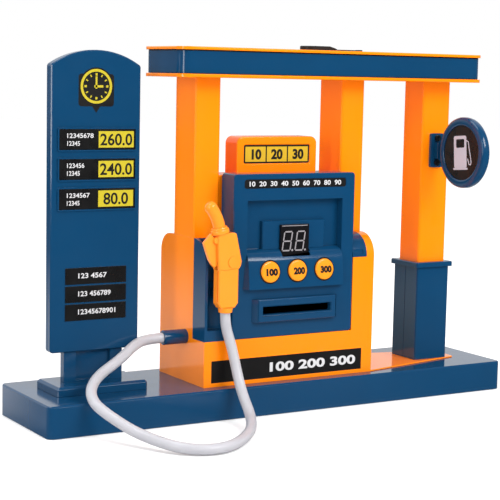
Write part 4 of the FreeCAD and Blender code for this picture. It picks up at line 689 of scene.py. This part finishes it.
def figures(text, height, x, y, bold=0.0, width=None):
    """Raised numerals in mm with the matrix that places them: middle at x, or left edge if fitted."""
    curve = bpy.data.curves.new("figures", "FONT")
    curve.body = text
    curve.size = height / digit_share
    curve.offset = bold
    curve.extrude = film_rise
    curve.resolution_u = 4
    curve.align_x = "CENTER"
    mesh = evaluated_mesh(in_scene("figures", curve))
    spread = 1.0
    if width:
        ends = [v.co.x for v in mesh.vertices]
        spread = width / (max(ends) - min(ends))
        x -= spread * min(ends)
    return mesh, Matrix.Translation((x, y - height / 2, 0)) @ Matrix.Diagonal((spread, 1, 1, 1))


def plain(outlines, rise=film_rise, rounding=0.0):
    """Raised outlines in mm with the matrix that leaves them in place."""
    return drawing(outlines, rise, rounding), Matrix.Identity(4)


def printed(name, parts, place, lift, material, node):
    """A printed or laid-on layer: parts are pairs of a mesh and its matrix in mm, laid on a surface."""
    mesh = gathered(name, parts)
    mesh.transform(place @ Matrix.Translation((0, 0, lift)))
    fixed(name, mesh, material, 20, node)


to_right = (1, 0, 0)
upward = (0, 0, 1)


def on_front(y, x=0):
    """Lays a drawing on a face that looks to the front, at some Y and moved along in X."""
    return laid_on((x, y, 0), to_right, upward)


pump_face_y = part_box("pump_case")[0].y / mm
on_pump = on_front(pump_face_y)
label_x = (-61.8, 61.0)
label_z = (23.8, 38.9)
printed("case_label", [plain([panel(label_x, label_z)])], on_pump, 0, black_film, "pump_case")
printed("case_label_numerals",
        [figures("100 200 300", height=6.0, x=-15.6, y=31.3, bold=0.3, width=71.5)],
        on_pump, 2 * film_rise, white_ink, "pump_case")


# Pump front
# One blue moulding with fascia, display recess, open holster and right ear; the console and the
# card bezel are pressed into it. A black film with a small scale lies in the strip at the top.
moulded("pump_front", blue_abs, 0.35)
display_low, display_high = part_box("display_module")
window_rise = 2.4
window_shift = -0.9
notch_room = 0.15
glass_x = (display_low.x / mm + window_shift, display_high.x / mm + window_shift)
notch_x = (glass_x[0] - notch_room, glass_x[1] + notch_room)
notch_low = display_low.z / mm - notch_room
console_notch = ((notch_x[0], -40, notch_low), (notch_x[1], display_low.y / mm + 2, 120))
moulded("console_panel", blue_abs, 0.35, notches=[console_notch])
moulded("card_bezel", blue_abs)
# The notch has its own cheeks and floor, up to the arc that rolls the console's top back.
roll_middle = (-24.37, 103.12)
roll_radius = 10.25
notch_back = display_low.y / mm - window_rise + 0.2
cheek = [(notch_back, notch_low)]
for step in range(9):
    turn = asin((notch_low - roll_middle[1]) / roll_radius) + step * radians(5)
    edge = (roll_middle[0] - roll_radius * cos(turn), roll_middle[1] + roll_radius * sin(turn))
    if edge[0] < notch_back:
        cheek.append(edge)
cheek.append((notch_back, cheek[-1][1]))
cheek_half = 0.4
floor_depth = (cheek[1][0] + 0.1, notch_back)
printed("display_cheeks",
        [(drawing([cheek], cheek_half), Matrix.Translation((0, 0, x)))
         for x in (notch_x[0] - cheek_half, notch_x[1] + cheek_half)],
        laid_on((0, 0, 0), (0, 1, 0), upward), 0, blue_abs, "console_panel")
printed("display_floor", [plain([panel(notch_x, floor_depth)], cheek_half)], Matrix.Scale(mm, 4),
        notch_low - cheek_half, blue_abs, "console_panel")


def facing_out(mesh, merge=0):
    """Turns a mesh's faces outward, after its doubles within some distance are merged."""
    shape = bmesh.new()
    shape.from_mesh(mesh)
    if merge:
        bmesh.ops.remove_doubles(shape, verts=shape.verts, dist=merge)
    bmesh.ops.recalc_face_normals(shape, faces=shape.faces)
    shape.to_mesh(mesh)
    shape.free()
    return mesh


# Console and bezel have sloping flanks from their front edges out to the fascia.
flank_run = 3.0
flank_inset = 0.15
console_flank_top = 106.5
console_flank_share = 0.4
console_flank_front = -34.1


def flanks(name, node, z_high, share, y_high):
    """Both flanks of a panel, in mm. At the top, one runs out by a share of its run at the foot."""
    low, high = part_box(node)
    z_low = low.z / mm + 0.2
    y_front = low.y / mm + flank_inset
    y_base = pump_face_y + 0.05
    for end, x, run in (("_left", low.x / mm, -flank_run), ("_right", high.x / mm, flank_run)):
        corners = [(x, y_front, z_low), (x, y_base, z_low), (x + run, y_base, z_low),
                   (x, y_high, z_high), (x, y_base, z_high), (x + run * share, y_base, z_high)]
        mesh = bpy.data.meshes.new(name)
        mesh.from_pydata([Vector(c) * mm for c in corners], [],
                         [(0, 1, 2), (3, 5, 4), (0, 2, 5, 3), (1, 0, 3, 4), (2, 1, 4, 5)])
        fixed(name + end, facing_out(mesh), blue_abs, 20, node)


bezel_low, bezel_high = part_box("card_bezel")
flanks("bezel_flank", "card_bezel", bezel_high.z / mm - 0.2, 1.0, bezel_low.y / mm + flank_inset)
flanks("console_flank", "console_panel", console_flank_top, console_flank_share, console_flank_front)

strip_x = (-38.3, 43.7)
strip_z = (154.8, 160.8)
strip_rise = 0.15
on_strip = on_front(pump_face_y + 0.4)
printed("name_strip", [plain([panel(strip_x, strip_z, 1.6)], strip_rise)],
        on_strip, 0, black_film, "pump_front")
scale_text = "10  20  30  40  50  60  70  80  90"
printed("name_strip_scale", [figures(scale_text, height=3.2, x=-34.6, y=157.9, bold=0.1, width=74.4)],
        on_strip, strip_rise, white_ink, "pump_front")

# The display: a smoked window over two seven-segment numerals, unlit, so that the pale milky segments show on
# the dark face. A thin pale line along the top, in the segments' material, is a painted highlight on the
# window's edge.
smoked = moulded_plastic("smoked_display_window", "#141316", "#101013", 0.16, 6.0, 0.003, 1.49)
pale_segment_and_highlight = moulded_plastic("milky_segment_and_painted_highlight", "#8f8b8e", "#858085", 0.4, 1.0, 0.002, 1.49)
moulded("display_module", smoked, 0.2)
digit_width = 6.3
digit_height = 13.0
segment_width = 0.95
segment_gap = 0.2
digit_slant = tan(radians(8))


def segment(x0, y0, x1, y1):
    """Outline of one segment: a bar with pointed ends between two points, both drawn in."""
    along = Vector((x1 - x0, y1 - y0)).normalized()
    across = Vector((-along.y, along.x)) * segment_width / 2
    start = Vector((x0, y0)) + along * segment_gap
    end = Vector((x1, y1)) - along * segment_gap
    tip = along * segment_width / 2
    corners = [start, start + tip + across, end - tip + across, end, end - tip - across,
               start + tip - across]
    return [(c.x + digit_slant * c.y, c.y) for c in corners]


def eight(x, y):
    """The seven segments and the dot of one numeral whose lower left corner is at x and y."""
    rows = (0, digit_height / 2, digit_height)
    bars = [segment(0, h, digit_width, h) for h in rows]
    for side in (0, digit_width):
        bars += [segment(side, rows[0], side, rows[1]), segment(side, rows[1], side, rows[2])]
    bars.append(disc(digit_width + 1.9, 0.2, 0.75, 16))
    return [[(px + x, py + y) for px, py in line_of] for line_of in bars]


glass_edge = 0.15
glass_outline = panel(glass_x, (display_low.z / mm, display_high.z / mm))
printed("display_glass", [plain([glass_outline], window_rise / 2 - glass_edge, glass_edge)],
        on_front(display_low.y / mm - window_rise / 2), 0, smoked, "display_module")
on_display = on_front(display_low.y / mm - window_rise, -1.4)
digits_low = 111.4
# Painted highlight: a pale line along the window's top edge.
edge_highlight_line = panel((-6.0, 14.8), (128.2, 128.7))
for name, outlines in (("display_segments", eight(-5.5, digits_low) + eight(4.9, digits_low)),
                       ("display_edge_line", [edge_highlight_line])):
    printed(name, [plain([one]) for one in outlines], on_display, 0, pale_segment_and_highlight,
            "display_module")

# Three yellow push buttons with slightly domed caps, a flange behind the console's skin and a
# stem that presses the rubber mat. Printed with plain numbers.
button_abs = moulded_plastic("glossy_yellow_ABS", "#f2921f", "#ec8a17", 0.16, 4.0, 0.004, 1.54)
button_x = (-18.95, 3.05, 25.05)
button_z = 97.9
button_tilt = radians(6)
console_foot = (-36.5, 86.3)
skin_y = console_foot[0] + (button_z - console_foot[1]) * tan(button_tilt)
button_up = (0, sin(button_tilt), cos(button_tilt))
cap_profile = ((0, 1.62), (3.0, 1.6), (5.4, 1.52), (6.5, 1.42), (6.95, 1.28), (7.2, 1.02), (7.3, 0.7),
               (7.3, -2.8), (8.6, -2.8), (8.6, -3.8), (2.4, -3.8))
stem_radius = 2.4
mat_room = 0.3
cap_rise = 1.58
# The black film ring round each cap is painted shade: it stands for the shadow in the gap between cap and
# console.
gap_shade_rise = 0.06
gap_shade_ring = (7.3, 8.25)


def turned(profile, sides=48, closed=True):
    """Mesh in mm of a profile of radius and height pairs, turned about Z, its ends closed or open."""
    verts = [(r * cos(k * tau / sides), r * sin(k * tau / sides), h)
             for r, h in profile if r > 0 for k in range(sides)]
    rings = sum(1 for r, _ in profile if r > 0)
    faces = []
    for ring in range(0, (rings - 1) * sides, sides):
        above = ring + sides
        for k in range(sides):
            n = (k + 1) % sides
            faces.append((ring + k, above + k, above + n, ring + n))
    if closed:
        faces.append(tuple(range((rings - 1) * sides, rings * sides)))
        if profile[0][0] == 0:
            verts.append((0, 0, profile[0][1]))
            faces += [(len(verts) - 1, k, (k + 1) % sides) for k in range(sides)]
        else:
            faces.append(tuple(reversed(range(sides))))
    mesh = bpy.data.meshes.new("turned")
    mesh.from_pydata(verts, [], faces)
    return facing_out(mesh, 1e-4)


for side, x, number_text in zip(("left", "middle", "right"), button_x, ("100", "200", "300")):
    node = "button_" + side
    reach = (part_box(node)[1].y / mm - skin_y) / cos(button_tilt) - mat_room
    on_button = laid_on((x, skin_y, button_z), to_right, button_up)
    mesh = turned(cap_profile + ((stem_radius, -reach),))
    mesh.transform(on_button)
    fixed(node + "_cap", mesh, button_abs, 40, node, instead=True)
    printed(node + "_number", [figures(number_text, height=4.2, x=-3.8, y=-0.2, bold=0.4, width=9.2)],
            on_button, cap_rise, black_ink, node)
    # Painted shade: a black film ring on the console round the cap, for the shadow in its gap.
    printed(node + "_gap", [plain([disc(0, 0, radius) for radius in gap_shade_ring], gap_shade_rise)],
            on_button, gap_shade_rise, black_film, "console_panel")


# Pump head and marquee
# The orange block that closes the gap between the pillars, with the box for the lit numbers:
# a black film with three yellow fields in a shallow window.
moulded("pump_head", orange_abs)
moulded("marquee", orange_abs, 0.5)
window_x = (-25.55, 28.55)
window_z = (169.75, 183.15)
window_depth = 0.8
field_border = 1.5
field_gap = 1.0
on_marquee = on_front(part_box("marquee")[0].y / mm + window_depth)
field_width = (window_x[1] - window_x[0] - 2 * field_border - 2 * field_gap) / 3
field_lows = [window_x[0] + field_border + i * (field_width + field_gap) for i in range(3)]
field_z = (window_z[0] + field_border, window_z[1] - field_border)
printed("marquee_film", [plain([panel(window_x, window_z)])], on_marquee, 0, black_film, "marquee")
frame_x = (-26.9, 29.9)
frame_z = (168.9, 184.4)
frame_line = 0.5
inner_x = (frame_x[0] + frame_line, frame_x[1] - frame_line)
inner_z = (frame_z[0] + frame_line, frame_z[1] - frame_line)
printed("marquee_frame_line", [plain([panel(frame_x, frame_z, 0.6), panel(inner_x, inner_z, 0.4)], 0.4)],
        on_marquee, 0.02 - window_depth, orange_abs, "marquee")
printed("marquee_fields", [plain([panel((low, low + field_width), field_z)]) for low in field_lows],
        on_marquee, film_rise, yellow_ink, "marquee")
printed("marquee_numerals",
        [figures(text, height=6.4, x=low + field_width / 2, y=176.4, bold=0.42)
         for text, low in zip(("10", "20", "30"), field_lows)],
        on_marquee, 2 * film_rise, black_ink, "marquee")


# Pillars, column and roof
# Square orange tubes with rounded edges; the right one stands in a blue socket column. The roof
# is a blue tank between two orange plates, with a black rubber plug on a strap.

# Moulded rubber: near black and dull.
black_rubber = moulded_plastic("black_moulded_rubber", "#0f0f10", "#0c0c0d", 0.5, 0.8, 0.02, 1.5)
for side in ("left", "middle", "right"):
    moulded("pillar_" + side, orange_abs)
for node in ("column_front", "column_back", "column_cap"):
    moulded(node, blue_abs)
finished("canopy_screws", zinc)
# The plates' corners are well rounded in plan. A thin black rubber band shows between the tank and each
# plate; it is painted shade for the dark shadow line under each plate.
tank_low, tank_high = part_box("canopy_tank")
tray_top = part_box("canopy_tray")[1].z
lid_rim = tank_high.z
roof_middle = (tank_low.x + tank_high.x) / 2
roof_end = 9 * mm
roof_end_zone = (tank_high.x - tank_low.x) / 2 - roof_end
roof_longer = 3.0 * mm
# Heights of the black bands at the lid and the tray, which are painted shade.
lid_shadow_band = 0.85 * mm
tray_shadow_band = 0.5 * mm
shadow_band_inset = 0.1
tank_corner = 9.0
tank_wall = 1.5 * mm
flange = 1.5
at_level = 0.05 * mm
next_edge = 0.8 * mm


def roof_ends(point):
    """Moves what lies in the last millimetres of the roof outward a little."""
    if abs(point.x - roof_middle) > roof_end_zone:
        point.x += copysign(roof_longer, point.x - roof_middle)
    return point


def lid_shape(point):
    """The lid's plate ends above its black shadow band, and what lies inside the tank's wall keeps its
    length.
    """
    inside = (abs(point.x - roof_middle) < tank_high.x - roof_middle - tank_wall
              and abs(point.y) < tank_high.y - tank_wall)
    if abs(point.z - lid_rim) < at_level:
        point.z += lid_shadow_band
    elif 0 < point.z - lid_rim < next_edge:
        point.z += lid_shadow_band / 2
    return point if inside else roof_ends(point)


def tray_shape(point):
    """The tray's plate ends below its black shadow band."""
    if abs(point.z - tray_top) < at_level:
        point.z -= tray_shadow_band
    elif 0 < tray_top - point.z < next_edge:
        point.z -= tray_shadow_band / 2
    return roof_ends(point)


def roof_outline(grown, radius):
    """The roof seen from above: the tank's outline grown by some millimetres."""
    return panel(((tank_low.x - roof_longer) / mm - grown, (tank_high.x + roof_longer) / mm + grown),
                 (tank_low.y / mm - grown, tank_high.y / mm + grown), radius)


plate_outline = roof_outline(flange + 0.05, tank_corner + flange)
moulded("canopy_tray", orange_abs, reshape=tray_shape, within=plate_outline)
moulded("canopy_lid", orange_abs, reshape=lid_shape, within=plate_outline)
moulded("canopy_tank", blue_abs, reshape=roof_ends, within=roof_outline(-0.2, tank_corner - 0.2))
# The two black rubber rings are painted shade for the shadow lines at the plates; the blue ring is the tank's
# wall.
for name, low, high, inset, material in (
        ("roof_wall", tray_top, lid_rim, 0.0, blue_abs),
        ("roof_seal_top", lid_rim, lid_rim + lid_shadow_band, shadow_band_inset, black_rubber),
        ("roof_seal_low", tray_top - tray_shadow_band, tray_top, shadow_band_inset, black_rubber)):
    ring = [roof_outline(-inset, tank_corner - inset), roof_outline(-1.9, tank_corner - 1.9)]
    printed(name, [plain(ring, (high - low) / mm / 2)], Matrix.Scale(mm, 4), (low + high) / 2 / mm,
            material, "canopy_tank")
moulded("filler_plug", black_rubber)
moulded("plug_anchor", black_rubber)
moulded("hose_connector", blue_abs)


# Pylon
# A flat tall panel of two shells on two posts. Three price frames hold black plates with a
# yellow field each, three black strips below carry number rows, and the badge is a clock face.
for node, edge_mm, steps in (("pylon_front", 0.4, 2), ("pylon_back", 0.4, 2), ("pylon_posts", 1.6, 4),
                             ("pylon_foot", 0.4, 2)):
    moulded(node, blue_abs, edge_mm, segments=steps)
moulded("price_plates", black_abs, 0.15)
moulded("service_strips", black_abs, 0.08)
price_z = (187.0, 167.6, 148.2)
price_field_x = (-133.5, -108.1)
price_field_height = 10.7
price_note_x = -155.8
note_rise = 2.5
on_price = on_front(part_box("price_plates")[0].y / mm)
printed("price_fields", [plain([panel(price_field_x, about(z, price_field_height))]) for z in price_z],
        on_price, 0, price_ink, "price_plates")
printed("price_numerals",
        [figures(text, height=7.4, x=sum(price_field_x) / 2, y=z, bold=0.2)
         for text, z in zip(("260.0", "240.0", "80.0"), price_z)],
        on_price, film_rise, black_ink, "price_plates")
printed("price_notes",
        [figures(text, height=2.9, x=price_note_x, y=z + rise, bold=0.06, width=wide)
         for z, first, first_width in zip(price_z, ("12345678", "123456", "1234567"), (18.6, 12.2, 16.2))
         for text, rise, wide in ((first, note_rise, first_width), ("12345", -note_rise, 9.0))],
        on_price, 0, white_ink, "price_plates")
service_rows = (("123 4567", 97.8, 20.5), ("123 456789", 85.9, 23.5), ("12345678901", 73.9, 27.0))
printed("service_numerals",
        [figures(text, height=3.2, x=-147.2, y=z, bold=0.09, width=wide) for text, z, wide in service_rows],
        on_front(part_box("service_strips")[0].y / mm), 0, white_ink, "service_strips")

badge_x = -135.25
badge_z = 221.4
badge_half = 12.6
badge_low = 208.4
badge_high = 229.4
badge_tip = 204.2
tab_half = 3.6
pylon_recess = 0.9
rim_radius = 11.2
dial_radius = 9.5
on_pylon = on_front(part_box("pylon_front")[0].y / mm + pylon_recess)
badge_field = panel(about(badge_x, 2 * badge_half), (badge_low, badge_high), 2.0)
tab = [(badge_x - tab_half, badge_low + 1), (badge_x, badge_tip), (badge_x + tab_half, badge_low + 1)]
# Each black layer ends at a rise of its own.
badge_layers = [plain([badge_field]), plain([tab], 0.03),
                plain([disc(badge_x, badge_z, rim_radius + 1.0)], 0.05)]
printed("badge_ground", badge_layers, on_pylon, 0, black_film, "pylon_front")
hands = [panel(about(badge_x, 1.3), (badge_z - 1.5, badge_z + 6.4)),
         panel((badge_x - 1.5, badge_x + 4.9), about(badge_z, 1.5))]
mark_reach = (6.9, 8.5)
mark_width = 0.8
quarter_width = 1.4
hour_marks = []
for hour in range(12):
    mark = drawing([panel(about(0, mark_width if hour % 3 else quarter_width), mark_reach)], film_rise)
    turn = Matrix.Rotation(hour * tau / 12, 4, "Z")
    hour_marks.append((mark, Matrix.Translation((badge_x, badge_z, 0)) @ turn))
printed("badge_clock",
        [plain([disc(badge_x, badge_z, rim_radius, 96), disc(badge_x, badge_z, dial_radius, 96)])]
        + [plain([hand]) for hand in hands] + hour_marks,
        on_pylon, 1.5 * film_rise, price_ink, "pylon_front")


# Blade sign
# A round frame on a bracket, screwed to the right pillar, with a black disc in each face and a
# drawing of a fuel pump in pale grey film.
sign_low, sign_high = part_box("sign_faces")
sign_x = (sign_low.x + sign_high.x) / 2 / mm
sign_y = (sign_low.y + sign_high.y) / 2 / mm
sign_z = (sign_low.z + sign_high.z) / 2 / mm
pillar_face_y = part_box("pillar_right")[0].y / mm
sign_middle = Matrix.Translation((sign_x, sign_y, sign_z)) @ Matrix.Rotation(radians(90), 4, "Y")
rim_half = ((19.8, 2.0), (19.8, 3.05), (20.3, 3.45), (21.0, 3.5), (23.2, 3.5), (24.4, 3.2), (25.2, 2.4),
            (25.5, 1.4))
rim_profile = rim_half + tuple((r, -h) for r, h in reversed(rim_half)) + rim_half[:1]
plate_half = 1.1
plate = drawing([panel(about(0, 11.2), about(0, 25.0), 1.2)], plate_half)
web_half = 6.0
web = drawing([panel(about(0, 5.0), (0, 4.6))], web_half)
plate_place = Matrix.Translation((sign_x, pillar_face_y - plate_half, sign_z))
web_place = Matrix.Translation((sign_x, pillar_face_y - 2.0, sign_z))
bracket = gathered("blade_sign", [
    (turned(rim_profile, 96, closed=False), sign_middle),
    (turned(((0, 1.3), (19.9, 1.3), (19.9, -1.3)), 96), sign_middle),
    (plate, plate_place @ Matrix.Rotation(pi / 2, 4, "X")),
    (web, web_place @ Matrix.Rotation(pi, 4, "Z"))])
bracket.transform(Matrix.Scale(mm, 4))
fixed("blade_sign_moulded", bracket, blue_abs, 40, "blade_sign", instead=True)
moulded("sign_faces", black_abs, 0.15)
# Steel painted near black for the shade in the bracket's screw recesses, with a dull metal gloss.
shade_darkened_steel = zinc.copy()
shade_darkened_steel.name = "black_oxide_steel"
tree = shade_darkened_steel.node_tree
dark_grain = put(tree, "ShaderNodeTexNoise", {"Scale": 1 / (0.6 * mm), "Detail": 3.0})
shaded_steel_tone = put(tree, "ShaderNodeMix", {"Factor": dark_grain.outputs["Fac"], "A": linear("#15181d"),
                                          "B": linear("#20242b")}, data_type="RGBA")
feed(tree, tree.nodes["Principled BSDF"], {"Base Color": shaded_steel_tone.outputs["Result"], "Metallic": 0.5})
# The sign's screws are painted dark: painted shade for their recesses in the bracket.
fitted_screws("sign_screws", (0, -1, 0), shade_darkened_steel)
# Pale film: an even, faintly lilac grey with a soft gloss.
grey_film = moulded_plastic("pale_grey_film", "#bdbbc8", "#b6b4c1", 0.4, 2.0, 0.002, 1.45)
hose_line = ((6.0, 8.6), (8.2, 7.6), (8.9, 3.2), (10.6, -4.6), (11.0, -7.6), (10.2, -8.9), (8.6, -8.6),
             (8.0, -6.8), (7.2, -4.4))
hose_width = 0.9


def ribbon(line_of, width):
    """Outline of a band of some width along a line."""
    one_side = []
    other_side = []
    for i, point in enumerate(line_of):
        before = Vector(line_of[max(i - 1, 0)])
        after = Vector(line_of[min(i + 1, len(line_of) - 1)])
        along = (after - before).normalized()
        across = Vector((-along.y, along.x)) * width / 2
        one_side.append(tuple(Vector(point) + across))
        other_side.append(tuple(Vector(point) - across))
    return one_side + other_side[::-1]


pictogram = [plain([panel((-8.2, 6.0), (-11.0, 12.2), 1.6), panel((-5.6, 3.6), (3.6, 9.8), 1.0)]),
             plain([panel((-9.2, 7.0), (-12.3, -10.9))]), plain([ribbon(hose_line, hose_width)])]
drawing_turn = Matrix.Rotation(radians(4.5), 4, "Z")
for name, x, across in (("sign_drawing_left", sign_low.x / mm, (0, -1, 0)),
                        ("sign_drawing_right", sign_high.x / mm, (0, 1, 0))):
    printed(name, [(mesh.copy(), matrix) for mesh, matrix in pictogram],
            laid_on((x, sign_y, sign_z), across, upward) @ drawing_turn, 0, grey_film, "sign_faces")


# Nozzle
# Two orange half shells round the trigger, its pin, plunger and spring. The spout is one bent
# tube with a stepped collar where it leaves the body and a rounded end.

# The same ABS in a lighter orange, polished.
light_orange_abs = moulded_plastic("glossy_light_orange_ABS", "#fd9129", "#fa8c24", 0.15, 5.0, 0.006, 1.54)
grip_groove = ((-63.5, -40.6, 80.6), (-61.4, -39.3, 101.0))
moulded("nozzle_front_half", light_orange_abs, 0.9, segments=4, notches=[grip_groove])
moulded("nozzle_back_half", light_orange_abs, 0.7, segments=4)
moulded("nozzle_collar", light_orange_abs, 0.5, segments=3)
moulded("trigger", light_orange_abs, 0.5, segments=3)
moulded("valve_plunger", black_abs, 0.15)
finished("trigger_pin", light_orange_abs)
# The spring is a welded copy of the CAD coil, shaded smooth in zinc.
coil_shape = welded("valve_spring", joined=False)
coil = bpy.data.meshes.new("valve_spring_coil")
coil_shape.to_mesh(coil)
coil_shape.free()
spring = smooth_object("valve_spring_coil", coil, zinc, 40)
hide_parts("valve_spring")
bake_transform(spring)
nozzle_y = -37.75
spout_start = Vector((-59.6, nozzle_y, 124.6))
spout_radius = 4.2
root_length = 6.4
lean = radians(13)
bend = radians(29)
bend_radius = 29.0

bend_steps = 12
tip_steps = 8
tip_share = 0.8
tip_step = radians(11)
spout_sides = 40


def lean_way(angle):
    """Upward, turned to the left by an angle."""
    return Vector((-sin(angle), 0, cos(angle)))


knee = spout_start + lean_way(lean) * root_length
spout_path = [spout_start, knee]
for step in range(1, bend_steps + 1):
    turn = lean + bend * step / bend_steps
    spout_path.append(knee + Vector((-bend_radius * (cos(lean) - cos(turn)), 0,
                                     bend_radius * (sin(turn) - sin(lean)))))
spout_widths = [spout_radius] * len(spout_path)
end = spout_path[-1].copy()
for step in range(1, tip_steps + 1):
    spout_path.append(end + lean_way(lean + bend) * spout_radius * tip_share * sin(step * tip_step))
    spout_widths.append(spout_radius * cos(step * tip_step))
flat = Vector((0, 1, 0))
around = [k * tau / spout_sides for k in range(spout_sides)]
last = len(spout_path) - 1
verts = []
for i, here in enumerate(spout_path):
    along = (spout_path[min(i + 1, last)] - spout_path[max(i - 1, 0)]).normalized()
    other = along.cross(flat)
    verts += [here + spout_widths[i] * (cos(a) * flat + sin(a) * other) for a in around]
faces = []
for ring in range(0, last * spout_sides, spout_sides):
    above = ring + spout_sides
    for k in range(spout_sides):
        n = (k + 1) % spout_sides
        faces.append((ring + k, ring + n, above + n, above + k))
faces += [tuple(reversed(range(spout_sides))), tuple(range(last * spout_sides, len(verts)))]
tube = bpy.data.meshes.new("spout_tube")
tube.from_pydata(verts, [], faces)
step_profile = ((3.0, 1.6), (6.1, 1.6), (6.3, 1.9), (6.3, 4.0), (6.1, 4.3), (5.5, 4.4), (5.4, 5.5),
                (5.1, 5.9), (3.0, 5.9))
spout = gathered("nozzle_spout", [
    (tube, Matrix.Identity(4)),
    (turned(step_profile, closed=False), Matrix.Translation(spout_start) @ Matrix.Rotation(-lean, 4, "Y"))])
spout.transform(Matrix.Scale(mm, 4))
fixed("nozzle_spout_moulded", spout, light_orange_abs, 40, "nozzle_spout", instead=True)
# The trigger's knuckle lies round its pin.
knuckle_place = Matrix.Translation((-63.6, nozzle_y, 121.6)) @ Matrix.Rotation(pi / 2, 4, "X")
knuckle = turned(((0, 3.3), (2.0, 3.3), (2.4, 2.9), (2.4, -2.2), (2.0, -2.6)), 32)
knuckle.transform(Matrix.Scale(mm, 4) @ knuckle_place)
fixed("trigger_knuckle", knuckle, light_orange_abs, 40, "trigger")
